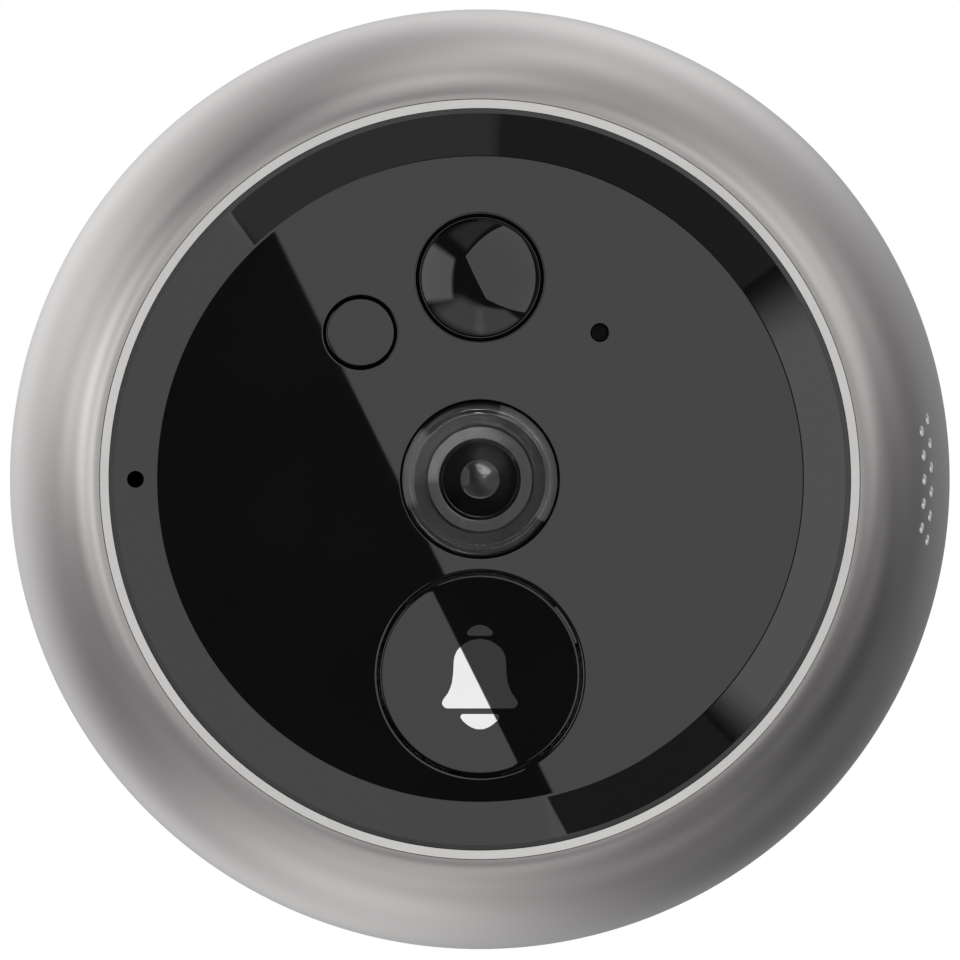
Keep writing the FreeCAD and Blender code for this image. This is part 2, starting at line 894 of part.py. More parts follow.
def rear_board_chips():
    """Memory, audio and power chips on the board's rear."""
    chips = [block(size, board_back - size[2], board_back, place) for place, size in rear_chips]
    return Part.makeCompound(chips)


def cable_connector():
    """Socket on the board's rear for the cable that comes through the door."""
    low = board_back - connector_box[2]
    shell = block(connector_box, low, board_back, connector_place)
    mouth = (connector_box[0] - 2 * connector_wall, connector_box[1] - 2 * connector_wall)
    return shell.cut(block(mouth, low - over_cut, board_back - connector_wall, connector_place))


def switch_body():
    """Body of the tactile switch, with a bore for its plunger."""
    low = board_front
    high = board_front + switch_height
    body = block((switch_width, switch_width), low, high, button_place)
    floor = high - plunger_depth - button_travel - close_fit
    well = rod(plunger_radius + close_fit, floor, high + over_cut, button_place)
    return body.cut(well)


def seal_hub_foot():
    """Height of the underside of the seal's hub, which rests on the plunger."""
    return frame_back + seal_hub_above_frame - seal_hub_height


def switch_plunger():
    """Plunger of the tactile switch."""
    low = board_front + switch_height - plunger_depth
    return rod(plunger_radius, low, seal_hub_foot(), button_place)


def button_lamps():
    """Small lamps round the switch that light the button."""
    places = around(button_light_count, button_light_radius, 45.0)
    lamps = [chip(chip_light, board_front, moved(button_place, offset)) for offset in places]
    return Part.makeCompound(lamps)


def button_foot():
    """Height of the lower edge of the button's wall."""
    return panel_back - button_skirt


def button_cap():
    """Gloss cap with a dished face and three tabs that keep it under the panel."""
    wall = button_radius - button_wall
    centre = panel_front - button_dish
    roof = centre - button_roof
    section = Section(0, roof).to(wall, roof).to(wall, button_foot()).to(button_radius, button_foot())
    section.to(button_radius, panel_front - button_edge_bevel)
    section.to(button_radius - button_edge_bevel, panel_front)
    section.dome(0, centre)
    top = panel_back - 2 * close_fit
    tabs = tab_blocks(button_radius + tab_reach, tab_width, top - tab_thickness, top)
    return fused([section.turned(button_place)] + tabs)


def button_light_guide():
    """Translucent disc behind the button's face, with the stem that presses the seal."""
    top = panel_front - button_dish - button_roof - close_fit
    low = top - guide_thickness
    hub = frame_back + seal_hub_above_frame
    section = Section(0, hub).to(guide_stem_radius, hub).to(guide_stem_radius, low).to(guide_radius, low)
    return section.to(guide_radius, top).to(0, top).turned(button_place)


def button_seal():
    """Silicone seal: a rim under the frame, a thin web and a hub between the button and the switch."""
    rim_top = frame_back
    rim_foot = rim_top - seal_rim_height
    hub_top = frame_back + seal_hub_above_frame
    hub_foot = seal_hub_foot()
    inner_rim = seal_rim_radius - seal_rim_width
    section = Section(0, hub_foot).to(seal_hub_radius, hub_foot)
    section.to(seal_hub_radius, hub_top - 3 * seal_web)
    section.to(inner_rim, rim_foot).to(seal_rim_radius, rim_foot).to(seal_rim_radius, rim_top)
    section.to(inner_rim, rim_top).to(inner_rim, rim_foot + seal_web)
    section.to(seal_hub_radius, hub_top - 2 * seal_web)
    return section.to(seal_hub_radius, hub_top).to(0, hub_top).turned(button_place)


def speaker():
    """Speaker that faces the holes, with a rim and a sunken cone."""
    front = speaker_front()
    middle = speaker_base + speaker_height / 2
    body = upright_block(speaker_left, front, speaker_length, speaker_height, middle)
    edges = [e for e in body.Edges if e.BoundBox.XLength > speaker_thickness / 2]
    body = body.makeFillet(speaker_round, edges)
    cone = upright_block(front - cone_sink, front + over_cut, speaker_length - 2 * speaker_rim,
                         speaker_height - 2 * speaker_rim, middle)
    return body.cut(cone)


def speaker_gasket():
    """Foam frame that seals the speaker to the housing's wall."""
    left = speaker_front() + close_fit
    height = gasket_top - speaker_base
    middle = speaker_base + height / 2
    outer = upright_block(left, housing_radius, speaker_length + 2 * gasket_wall, height, middle)
    opening = height - 2 * gasket_wall
    inner = upright_block(left - over_cut, housing_radius + over_cut, speaker_length, opening, middle)
    return outer.cut(inner).common(cavity(close_fit))


def speaker_mesh():
    """Fine dust mesh bonded to the wall behind the speaker holes."""
    layer = cavity(close_fit).cut(cavity(close_fit + mesh_thickness))
    middle = gasket_top - gasket_wall - 2 * close_fit - mesh_height / 2
    window = upright_block(speaker_left, housing_radius, mesh_length, mesh_height, middle)
    return layer.common(window)


def contact_places():
    """Where the two speaker contacts lie, as places along z."""
    return (-contact_spread, contact_spread)


def speaker_contacts():
    """Two bent spring contacts from the speaker's rear to the board's edge."""
    right = speaker_left - close_fit
    left = board_flat - contact_overlap
    low = board_front + close_fit
    contacts = []
    for across in contact_places():
        middle = ((left + right) / 2, across)
        foot = block((right - left, contact_width), low, low + contact_thickness, middle)
        upright = block((contact_thickness, contact_width), low, low + contact_upright,
                        (right - contact_thickness / 2, across))
        contacts.append(foot.fuse(upright).removeSplitter())
    return Part.makeCompound(contacts)


def rear_cover():
    """Rear cover: disc, sealed spigot, ribs, and the inner boss with the door fixings and cable passage."""
    edge = cover_recess - cover_gap
    spigot = seal_bore - 2 * cover_gap
    low_land = cover_height + groove_step
    high_land = low_land + groove_width
    top = cover_height + cover_spigot_height
    inner = spigot - cover_spigot_wall
    boss_top = cover_height + boss_height
    section = Section(0, back_height).to(edge, back_height).to(edge, cover_height).to(spigot, cover_height)
    section.to(spigot, low_land).to(spigot - groove_depth, low_land).to(spigot - groove_depth, high_land)
    section.to(spigot, high_land).to(spigot, top).to(inner, top).to(inner, cover_height)
    section.to(boss_radius, cover_height).to(boss_radius, boss_top).to(0, boss_top)
    solids = [section.turned()]
    for k in range(rib_count):
        rib = Part.makeBox(inner - boss_radius + 2 * rib_bite, rib_height + rib_bite, rib_thickness,
                           Vector(boss_radius - rib_bite, -(cover_height + rib_height), -rib_thickness / 2))
        rib.rotate(Vector(), Vector(0, 1, 0), 360.0 * (k + 0.5) / rib_count)
        solids.append(rib)
    outside = back_height - over_cut
    tools = [tube(pad_outer + close_fit, pad_inner - close_fit, outside, back_height + pad_recess)]
    tools.append(rod(grommet_radius, outside, boss_top + over_cut))
    for place in insert_places():
        tools.append(rod(insert_radius, outside, back_height + insert_length + insert_spare, place))
    for place in screw_places():
        tools.append(rod(screw_radius + close_fit, outside, cover_height + over_cut, place))
        tools.append(rod(screw_head_radius + loose_fit, outside, back_height + screw_head_height, place))
    return without(fused(solids), tools)


def cover_seal():
    """Rubber seal in the cover's groove, against the housing's bore."""
    floor = seal_bore - 2 * cover_gap - groove_depth + press_fit
    low = cover_height + groove_step + close_fit
    return tube(seal_bore - press_fit, floor, low, low + groove_width - 2 * close_fit)


def screw(head_face, head_radius, head_height, shank_radius, shank_length, place):
    """A screw that points away from the door, with its head's outer face at a height."""
    seat = head_face + head_height
    head = rod(head_radius, head_face, seat, place)
    return head.fuse(rod(shank_radius, seat - head_height / 2, seat + shank_length, place)).removeSplitter()


def rear_screws():
    """Four screws through the cover into the frame's posts."""
    shank = cover_thickness - screw_head_height + screw_grip
    sizes = (back_height, screw_head_radius, screw_head_height, screw_radius, shank)
    return Part.makeCompound([screw(*sizes, place) for place in screw_places()])


def board_screws():
    """Three screws that hold the board to the frame."""
    face = board_back - board_head_height
    shank = board_thickness + board_screw_grip
    sizes = (face, board_head_radius, board_head_height, board_screw_radius, shank)
    return Part.makeCompound([screw(*sizes, place) for place in board_screw_places])


def door_inserts():
    """Two threaded brass inserts that take the screws from inside the door."""
    return Part.makeCompound([tube(insert_radius - press_fit, insert_bore, back_height,
                                   back_height + insert_length, place) for place in insert_places()])


def cable_grommet():
    """Rubber grommet that lines the cable passage, from the door's surface to the boss's inner end."""
    high = cover_height + boss_height
    body = grommet_radius - close_fit
    rim = grommet_radius + grommet_flange
    section = Section(cable_bore, 0).to(rim, 0).to(rim, back_height).to(body, back_height).to(body, high)
    return section.to(rim, high).to(rim, high + grommet_lip).to(cable_bore, high + grommet_lip).turned()


def foam_pad():
    """Self-adhesive foam ring that lies against the door."""
    return tube(pad_outer, pad_inner, 0, pad_thickness)


NODES = (
    housing_ring, trim_ring, front_panel, panel_tape, front_frame,
    lens_cover, lens_shroud, lens_barrel, lens_front_element, lens_inner_elements,
    lens_holder, filter_pane, image_sensor,
    pir_lens, pir_seal, pir_sensor,
    infrared_window, infrared_lamp, light_pipe, daylight_sensor,
    microphone, microphone_boot,
    main_board, processor_shield, rear_board_chips, cable_connector,
    switch_body, switch_plunger, button_lamps,
    button_cap, button_light_guide, button_seal,
    speaker, speaker_gasket, speaker_mesh, speaker_contacts,
    rear_cover, cover_seal, rear_screws, board_screws,
    door_inserts, cable_grommet, foam_pad,
)


os.makedirs("parts", exist_ok=True)
for node in NODES:
    node().exportStep(os.path.join("parts", node.__name__ + ".step"))
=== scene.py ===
import logging
import math
from dataclasses import dataclass, field, replace
from enum import StrEnum, auto

import bmesh
import bpy
from mathutils import Matrix, Vector


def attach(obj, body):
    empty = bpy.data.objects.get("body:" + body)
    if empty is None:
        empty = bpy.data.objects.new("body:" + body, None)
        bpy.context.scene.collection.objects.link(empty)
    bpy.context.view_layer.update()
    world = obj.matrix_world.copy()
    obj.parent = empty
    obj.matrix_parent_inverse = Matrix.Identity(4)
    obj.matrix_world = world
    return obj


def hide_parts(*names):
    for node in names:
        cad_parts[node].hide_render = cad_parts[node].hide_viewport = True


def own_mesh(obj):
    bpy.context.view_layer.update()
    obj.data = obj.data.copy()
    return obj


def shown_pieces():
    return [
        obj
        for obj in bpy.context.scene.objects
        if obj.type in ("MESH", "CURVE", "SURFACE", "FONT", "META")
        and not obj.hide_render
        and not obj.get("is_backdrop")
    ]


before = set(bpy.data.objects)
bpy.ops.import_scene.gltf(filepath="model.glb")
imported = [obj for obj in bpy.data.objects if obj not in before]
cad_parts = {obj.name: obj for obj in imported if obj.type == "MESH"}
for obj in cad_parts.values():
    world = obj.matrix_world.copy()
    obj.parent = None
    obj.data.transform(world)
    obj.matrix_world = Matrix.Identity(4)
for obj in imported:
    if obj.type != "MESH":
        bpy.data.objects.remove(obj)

# The outdoor camera unit of a video door phone: satin metal ring, bright trim, gloss black face, camera,
# motion sensor, night light, doorbell button and the parts on its rear. Sizes are in millimetres and heights
# are counted from the door, so a height h lies at y = -h. Meshes are made in metres in the shared frame.

MM = 0.001
AXIS = (0.0, 0.0)
ROUND_STEPS = 6
GUARD = 0.03
MERGE = 1e-7
WELD = 1e-6
SHARP_ANGLE = math.radians(32.0)

# Heights and radii that several groups share
FACE = 17.7
PANEL_BACK = 16.2
SEAT = 16.15
FOOT = 15.5
CROWN_RADIUS = 27.51
SHOULDER = 2.8

Place = tuple[float, float]
Points = list[tuple[float, float]]
Corners = list[tuple[float, ...]]
Colour = tuple[float, float, float]
Mesh = bmesh.types.BMesh
Piece = bpy.types.Object
Material = bpy.types.Material
Node = bpy.types.Node


class Body(StrEnum):
    """The bodies that pieces ride on."""

    UNIT = auto()
    BUTTON = auto()


class Slot(StrEnum):
    """The record's finishes."""

    SATIN_METAL = auto()
    BRIGHT_TRIM = auto()
    GLOSS_BLACK = auto()
    TAPE = auto()
    INNER_PLASTIC = auto()
    CLEAR_COVER = auto()
    LENS_BLACK = auto()
    LENS_GLASS = auto()
    FILTER_GLASS = auto()
    CHIP_BLACK = auto()
    DARK_LENS = auto()
    BLACK_RUBBER = auto()
    SHEET_STEEL = auto()
    DARK_WINDOW = auto()
    LAMP_EPOXY = auto()
    LIGHT_GUIDE = auto()
    BOARD_GREEN = auto()
    CONNECTOR_CREAM = auto()
    SWITCH_BROWN = auto()
    CLEAR_SILICONE = auto()
    FOAM_BLACK = auto()
    CONTACT_GOLD = auto()
    REAR_PLASTIC = auto()
    SCREW_STEEL = auto()
    INSERT_BRASS = auto()


class Grain(StrEnum):
    """How the fine texture of a finish runs."""

    BLASTED = auto()
    TURNED = auto()
    CELLS = auto()
    WOVEN = auto()


class NodeBench:
    """Adds nodes to one tree and joins them."""

    def __init__(self, tree: bpy.types.NodeTree) -> None:
        """Takes the tree that the nodes go into."""
        self.tree = tree

    def add(self, kind: str, **values: object) -> Node:
        """Adds a node.

        Args:
            kind: the node's type name.
            values: settings of the node, or values of its inputs by lower-case name.

        Returns:
            The new node.
        """
        node = self.tree.nodes.new(kind)
        for name in [name for name in values if hasattr(node, name)]:
            setattr(node, name, values.pop(name))
        sockets = {socket.name.lower().replace(" ", "_"): socket for socket in reversed(list(node.inputs))}
        for name, value in values.items():
            sockets[name].default_value = value
        return node

    def wire(self, *links: tuple[Node, str | int, Node, str | int]) -> None:
        """Joins nodes, each link given as a node and its output, then a node and its input."""
        for source, out, target, into in links:
            self.tree.links.new(source.outputs[out], target.inputs[into])


def cleared(owner: Material | bpy.types.World) -> NodeBench:
    """Empties the node tree of a material or a world, and gives a bench on it."""
    owner.use_nodes = True
    owner.node_tree.nodes.clear()
    return NodeBench(owner.node_tree)


def new_group(name: str, inputs: dict[str, object], outputs: dict[str, str]) -> tuple[NodeBench, Node, Node]:
    """Starts a shader node group.

    Args:
        name: the group's name.
        inputs: each input's name and its default: a number, a colour, or None for a vector.
        outputs: each output's name and the kind of its socket.

    Returns:
        A bench on the group's tree, its input node and its output node.
    """
    tree = bpy.data.node_groups.new(name, "ShaderNodeTree")
    for label, default in inputs.items():
        kind = "Vector" if default is None else "Color" if isinstance(default, tuple) else "Float"
        socket = tree.interface.new_socket(label, in_out="INPUT", socket_type=f"NodeSocket{kind}")
        if default is not None:
            socket.default_value = default
    for label, kind in outputs.items():
        tree.interface.new_socket(label, in_out="OUTPUT", socket_type=f"NodeSocket{kind}")
    bench = NodeBench(tree)
    return bench, bench.add("NodeGroupInput"), bench.add("NodeGroupOutput")


def drift_group() -> bpy.types.NodeTree:
    """Slow drift between two tones and two roughnesses over a surface.

    Returns:
        The node group, with Color and Roughness outputs.
    """
    tone = (0.1, 0.1, 0.1, 1.0)
    inputs = {"Vector": None, "Scale": 60.0, "Dark Tone": tone, "Light Tone": tone, "Low Roughness": 0.3,
              "High Roughness": 0.4}
    bench, given, result = new_group("tone_drift", inputs, {"Color": "Color", "Roughness": "Float"})
    noise = bench.add("ShaderNodeTexNoise", detail=4.0, roughness=0.55)
    spread = bench.add("ShaderNodeMapRange", from_min=0.35, from_max=0.65)
    mix = bench.add("ShaderNodeMix", data_type="RGBA")
    rough = bench.add("ShaderNodeMapRange")
    bench.wire((given, "Vector", noise, "Vector"), (given, "Scale", noise, "Scale"), (noise, "Fac", spread, "Value"),
               (spread, "Result", mix, "Factor"), (given, "Dark Tone", mix, "A"), (given, "Light Tone", mix, "B"),
               (mix, "Result", result, "Color"), (spread, "Result", rough, "Value"),
               (given, "Low Roughness", rough, "To Min"), (given, "High Roughness", rough, "To Max"),
               (rough, "Result", result, "Roughness"))
    return bench.tree


def grain_group(grain: Grain) -> bpy.types.NodeTree:
    """Fine relief of a surface: blasted, turned, foamed or woven.

    Args:
        grain: which relief the group makes.

    Returns:
        The node group, with a Height output.
    """
    bench, given, result = new_group(f"{grain}_grain", {"Vector": None, "Scale": 6000.0}, {"Height": "Float"})
    out = "Fac"
    if grain is Grain.WOVEN:
        textures = [bench.add("ShaderNodeTexWave", wave_type="BANDS", bands_direction=way) for way in ("Z", "X")]
        top = bench.add("ShaderNodeMath", operation="MAXIMUM")
        bench.wire((textures[0], out, top, 0), (textures[1], out, top, 1), (top, "Value", result, "Height"))
    else:
        if grain is Grain.TURNED:
            textures = [bench.add("ShaderNodeTexWave", wave_type="RINGS", rings_direction="Y")]
        elif grain is Grain.CELLS:
            textures = [bench.add("ShaderNodeTexVoronoi", feature="SMOOTH_F1")]
            out = "Distance"
        else:
            textures = [bench.add("ShaderNodeTexNoise", detail=2.0, roughness=0.6)]
        bench.wire((textures[0], out, result, "Height"))
    for texture in textures:
        bench.wire((given, "Vector", texture, "Vector"), (given, "Scale", texture, "Scale"))
    return bench.tree


class Workshop:
    """Keeps the shared node groups and the materials made so far."""

    def __init__(self) -> None:
        """Builds the shared groups."""
        self.drift = drift_group()
        self.grains = {grain: grain_group(grain) for grain in Grain}
        self.materials: dict[str, Material] = {}

    def material(self, finish: "Finish") -> Material:
        """Gives the material of a finish, made on first use.

        Args:
            finish: the finish.

        Returns:
            Its material.
        """
        if finish.name not in self.materials:
            self.materials[finish.name] = finish.build(self)
        return self.materials[finish.name]


@dataclass(frozen=True)
class Finish:
    """A surface finish: two tones, two roughnesses, a relief and the shader's own constants."""

    slot: Slot
    dark: Colour
    light: Colour
    low_roughness: float
    high_roughness: float
    variant: str = ""
    drift_scale: float = 90.0
    grain: Grain = Grain.BLASTED
    grain_scale: float = 7000.0
    grain_depth: float = 0.0
    metallic: float = 0.0
    transmission: float = 0.0
    ior: float = 1.5
    specular: float = 0.5
    subsurface: float = 0.0

    @property
    def name(self) -> str:
        """The material's name."""
        return self.variant or self.slot.value

    def build(self, shop: Workshop) -> Material:
        """Makes the finish's material.

        Args:
            shop: where the shared groups are.

        Returns:
            The new material.
        """
        material = bpy.data.materials.new(self.name)
        bench = cleared(material)
        output = bench.add("ShaderNodeOutputMaterial")
        shader = bench.add("ShaderNodeBsdfPrincipled", metallic=self.metallic, transmission_weight=self.transmission,
                           ior=self.ior, specular_ior_level=self.specular, subsurface_weight=self.subsurface)
        place = bench.add("ShaderNodeTexCoord")
        drift = bench.add("ShaderNodeGroup", node_tree=shop.drift, scale=self.drift_scale,
                          dark_tone=(*self.dark, 1.0), light_tone=(*self.light, 1.0),
                          low_roughness=self.low_roughness, high_roughness=self.high_roughness)
        bench.wire((place, "Object", drift, "Vector"), (drift, "Color", shader, "Base Color"),
                   (drift, "Roughness", shader, "Roughness"), (shader, "BSDF", output, "Surface"))
        if self.grain_depth > 0.0:
            grain = bench.add("ShaderNodeGroup", node_tree=shop.grains[self.grain], scale=self.grain_scale)
            bump = bench.add("ShaderNodeBump", distance=self.grain_depth * MM)
            bench.wire((place, "Object", grain, "Vector"), (grain, "Height", bump, "Height"),
                       (bump, "Normal", shader, "Normal"))
        return material


def grey(value: float) -> Colour:
    """A grey tone."""
    return (value, value, value)


SATIN_METAL = Finish(Slot.SATIN_METAL, (0.585, 0.566, 0.560), (0.60, 0.581, 0.575), 0.235, 0.25, metallic=1.0,
                     grain_scale=9000.0, grain_depth=0.0012)
BRIGHT_TRIM = Finish(Slot.BRIGHT_TRIM, (0.73, 0.72, 0.705), (0.77, 0.76, 0.745), 0.20, 0.25, metallic=1.0,
                     grain=Grain.TURNED, grain_scale=2500.0, grain_depth=0.0004)
# Painted glint: the speaker holes' walls are a near-white metal, much brighter than the ring, so that the holes show
# bright glints
HOLE_GLINT_METAL = Finish(Slot.SATIN_METAL, grey(0.93), grey(0.97), 0.35, 0.4, "drilled_metal", metallic=1.0)
GLOSS_BLACK = Finish(Slot.GLOSS_BLACK, grey(0.0016), grey(0.0028), 0.012, 0.022, drift_scale=45.0)
GROUND_RIM = Finish(Slot.GLOSS_BLACK, grey(0.052), grey(0.058), 0.55, 0.65, "ground_rim", specular=0.1)
CAP_BLACK = Finish(Slot.GLOSS_BLACK, (0.0012, 0.0012, 0.0013), (0.0022, 0.0022, 0.0024), 0.012, 0.02, "cap_black",
                   drift_scale=80.0)
CLEAR_WINDOW = Finish(Slot.CLEAR_COVER, grey(0.97), grey(0.99), 0.0, 0.004, "clear_window", transmission=1.0,
                      ior=1.04)
WINDOW_EDGE = Finish(Slot.CLEAR_COVER, grey(0.91), grey(0.95), 0.0, 0.006, "window_edge", transmission=1.0, ior=1.43)
LENS_BLACK = Finish(Slot.LENS_BLACK, grey(0.003), grey(0.005), 0.05, 0.09, specular=0.2, grain_scale=8000.0,
                    grain_depth=0.0001)
DEEP_BLACK = Finish(Slot.LENS_BLACK, grey(0.001), grey(0.002), 0.25, 0.35, "deep_black", specular=0.015)
SEAL_BLACK = replace(DEEP_BLACK, slot=Slot.BLACK_RUBBER)
RING_BLACK = Finish(Slot.LENS_BLACK, grey(0.002), grey(0.004), 0.03, 0.06, "ring_black")
LENS_GLASS = Finish(Slot.LENS_GLASS, grey(0.91), grey(0.94), 0.0, 0.004, transmission=1.0, ior=1.06)
PUPIL_GLASS = Finish(Slot.LENS_GLASS, (0.004, 0.004, 0.005), (0.007, 0.007, 0.009), 0.03, 0.06, "pupil_glass",
                     ior=1.36)
DARK_LENS = Finish(Slot.DARK_LENS, (0.0016, 0.0016, 0.0018), (0.003, 0.003, 0.0033), 0.015, 0.025, drift_scale=150.0)
DARK_WINDOW = Finish(Slot.DARK_WINDOW, (0.0022, 0.0014, 0.0016), (0.0034, 0.0022, 0.0024), 0.012, 0.02,
                     drift_scale=150.0)
BELL_SILVER = Finish(Slot.BRIGHT_TRIM, grey(0.56), grey(0.58), 0.008, 0.014, "bell_silver", metallic=1.0,
                     drift_scale=300.0)
BLACK_RUBBER = Finish(Slot.BLACK_RUBBER, grey(0.005), grey(0.009), 0.62, 0.74, specular=0.25, grain_scale=5000.0,
                      grain_depth=0.004)
FOAM_BLACK = Finish(Slot.FOAM_BLACK, (0.016, 0.016, 0.017), (0.034, 0.034, 0.036), 0.85, 0.95, grain=Grain.CELLS,
                    grain_scale=2600.0, grain_depth=0.12, drift_scale=300.0)
CLEAR_SILICONE = Finish(Slot.CLEAR_SILICONE, (0.62, 0.64, 0.64), (0.70, 0.72, 0.72), 0.42, 0.5, subsurface=0.3,
                        grain_scale=4000.0, grain_depth=0.003)
REAR_PLASTIC = Finish(Slot.REAR_PLASTIC, (0.026, 0.026, 0.028), (0.036, 0.036, 0.038), 0.46, 0.54,
                      grain_scale=4200.0, grain_depth=0.012, drift_scale=50.0)
SCREW_STEEL = Finish(Slot.SCREW_STEEL, (0.42, 0.42, 0.41), (0.56, 0.56, 0.55), 0.26, 0.36, metallic=1.0,
                     grain_scale=6000.0, grain_depth=0.0015, drift_scale=500.0)
INSERT_BRASS = Finish(Slot.INSERT_BRASS, (0.60, 0.42, 0.16), (0.74, 0.55, 0.24), 0.22, 0.34, metallic=1.0,
                      grain_scale=6000.0, grain_depth=0.001, drift_scale=400.0)
MESH_STEEL = Finish(Slot.BLACK_RUBBER, grey(0.30), grey(0.55), 0.3, 0.4, "mesh_steel", metallic=0.9,
                    grain=Grain.WOVEN, grain_scale=900.0, grain_depth=0.03)

# Finishes of the CAD nodes that keep their own shape: two nodes by name, the rest by slot
NODE_FINISHES = {
    "light_pipe": Finish(Slot.LIGHT_GUIDE, grey(0.003), grey(0.005), 0.4, 0.5, "smoked_pipe", specular=0.05),
    "microphone": Finish(Slot.CHIP_BLACK, grey(0.004), grey(0.008), 0.8, 0.9, "sound_cloth", grain=Grain.WOVEN,
                         grain_scale=900.0, grain_depth=0.03, specular=0.1),
}
SLOT_FINISHES = (
    SATIN_METAL, BRIGHT_TRIM, GLOSS_BLACK, CLEAR_WINDOW, LENS_BLACK, LENS_GLASS, DARK_LENS, BLACK_RUBBER,
    DARK_WINDOW, CLEAR_SILICONE, FOAM_BLACK, REAR_PLASTIC, SCREW_STEEL, INSERT_BRASS,
    Finish(Slot.TAPE, grey(0.03), grey(0.05), 0.7, 0.8, grain_depth=0.002),
    Finish(Slot.INNER_PLASTIC, (0.022, 0.022, 0.024), (0.032, 0.032, 0.034), 0.5, 0.6, grain_depth=0.006),
    Finish(Slot.FILTER_GLASS, (0.30, 0.46, 0.52), (0.36, 0.52, 0.56), 0.01, 0.03),
    Finish(Slot.CHIP_BLACK, (0.02, 0.02, 0.022), (0.034, 0.034, 0.036), 0.45, 0.6, grain_depth=0.008),
    Finish(Slot.SHEET_STEEL, (0.50, 0.50, 0.48), (0.62, 0.62, 0.60), 0.28, 0.38, metallic=1.0, grain_depth=0.001),
    Finish(Slot.LAMP_EPOXY, (0.04, 0.03, 0.055), (0.06, 0.05, 0.08), 0.05, 0.1),
    Finish(Slot.LIGHT_GUIDE, (0.74, 0.76, 0.77), (0.82, 0.84, 0.85), 0.2, 0.3, subsurface=0.2, grain_depth=0.001),
    Finish(Slot.BOARD_GREEN, (0.010, 0.075, 0.035), (0.018, 0.11, 0.055), 0.3, 0.42, drift_scale=300.0,
           grain_depth=0.004),
    Finish(Slot.CONNECTOR_CREAM, (0.70, 0.66, 0.54), (0.78, 0.74, 0.62), 0.45, 0.55, grain_depth=0.002),
    Finish(Slot.SWITCH_BROWN, (0.16, 0.075, 0.03), (0.24, 0.12, 0.05), 0.45, 0.55, grain_depth=0.002),
    Finish(Slot.CONTACT_GOLD, (0.68, 0.48, 0.16), (0.80, 0.60, 0.24), 0.2, 0.3, metallic=1.0, grain_depth=0.0006),
)


def at(place: Place, radius: float, height: float, turn: float = 0.0) -> Vector:
    """A point in metres, from a place, a radius, a height and a turn about the place's line.

    Args:
        place: x and z of the line, in millimetres.
        radius: distance from the line.
        height: height above the door.
        turn: angle from +X towards +Z, in radians.

    Returns:
        The point in the shared frame.
    """
    x = place[0] + radius * math.cos(turn)
    z = place[1] + radius * math.sin(turn)
    return Vector((x * MM, -height * MM, z * MM))


def softened(corners: Corners, closed: bool) -> Points:
    """Rounds the corners of an outline.

    Args:
        corners: (radius, height) or (radius, height, rounding) of each corner.
        closed: whether the last corner joins the first.

    Returns:
        The outline's points, with a short straight guard beside each round.
    """
    points: Points = []
    count = len(corners)
    for index, corner in enumerate(corners):
        here = Vector(corner[:2])
        bend = corner[2] if len(corner) > 2 else 0.0
        if bend == 0.0 or (not closed and index in (0, count - 1)):
            points.append(tuple(here))
            continue
        back = (Vector(corners[index - 1][:2]) - here).normalized()
        ahead = (Vector(corners[(index + 1) % count][:2]) - here).normalized()
        half = back.angle(ahead) / 2
        cut = bend / math.tan(half)
        centre = here + (back + ahead).normalized() * (bend / math.sin(half))
        start = here + back * cut - centre
        end = here + ahead * cut - centre
        sweep = start.angle_signed(end)
        points.append(tuple(here + back * (cut + GUARD)))
        for step in range(ROUND_STEPS + 1):
            turned = start.copy()
            turned.rotate(Matrix.Rotation(-sweep * step / ROUND_STEPS, 2))
            points.append(tuple(centre + turned))
        points.append(tuple(here + ahead * (cut + GUARD)))
    return points


def lathe(points: Points, place: Place, steps: int, closed: bool) -> Mesh:
    """Turns an outline about a line square to the door.

    Args:
        points: (radius, height) of each point.
        place: where the line is.
        steps: how many facets go round.
        closed: whether the outline is a loop, as a ring's is.

    Returns:
        The turned mesh.
    """
    mesh = bmesh.new()
    verts = [mesh.verts.new(at(place, radius, height)) for radius, height in points]
    pairs = list(zip(verts, verts[1:]))
    if closed:
        pairs.append((verts[-1], verts[0]))
    edges = [mesh.edges.new(pair) for pair in pairs]
    bmesh.ops.spin(mesh, geom=verts + edges, cent=at(place, 0.0, 0.0), axis=(0.0, 1.0, 0.0), dvec=(0.0, 0.0, 0.0),
                   angle=math.tau, steps=steps, use_merge=True)
    bmesh.ops.remove_doubles(mesh, verts=mesh.verts[:], dist=MERGE)
    bmesh.ops.recalc_face_normals(mesh, faces=mesh.faces[:])
    return mesh


def ellipse_points(centre: Place, reach: float, rise: float, start: float, stop: float, count: int) -> Points:
    """Points along an ellipse in a section, from one angle from its top to another.

    Args:
        centre: its centre, as radius and height.
        reach: its half width along the radius.
        rise: its half height.
        start: the first angle from the top, in radians.
        stop: the last angle.
        count: how many stretches.

    Returns:
        The points.
    """
    angles = [start + (stop - start) * k / count for k in range(count + 1)]
    return [(centre[0] + reach * math.sin(a), centre[1] + rise * math.cos(a)) for a in angles]


def dome_points(sphere: float, reach: float, top: float, count: int) -> Points:
    """Points down a spherical dome from its middle.

    Args:
        sphere: the sphere's radius.
        reach: the dome's radius.
        top: height of its middle.
        count: how many stretches.

    Returns:
        Radius and height of each point.
    """
    edge = math.asin(reach / sphere)
    return [(sphere * math.sin(edge * k / count), top - sphere * (1 - math.cos(edge * k / count)))
            for k in range(count + 1)]


def smoothed(data: bpy.types.Mesh) -> None:
    """Smooths a mesh but for its sharp edges."""
    for polygon in data.polygons:
        polygon.use_smooth = True
    data.set_sharp_from_angle(angle=SHARP_ANGLE)


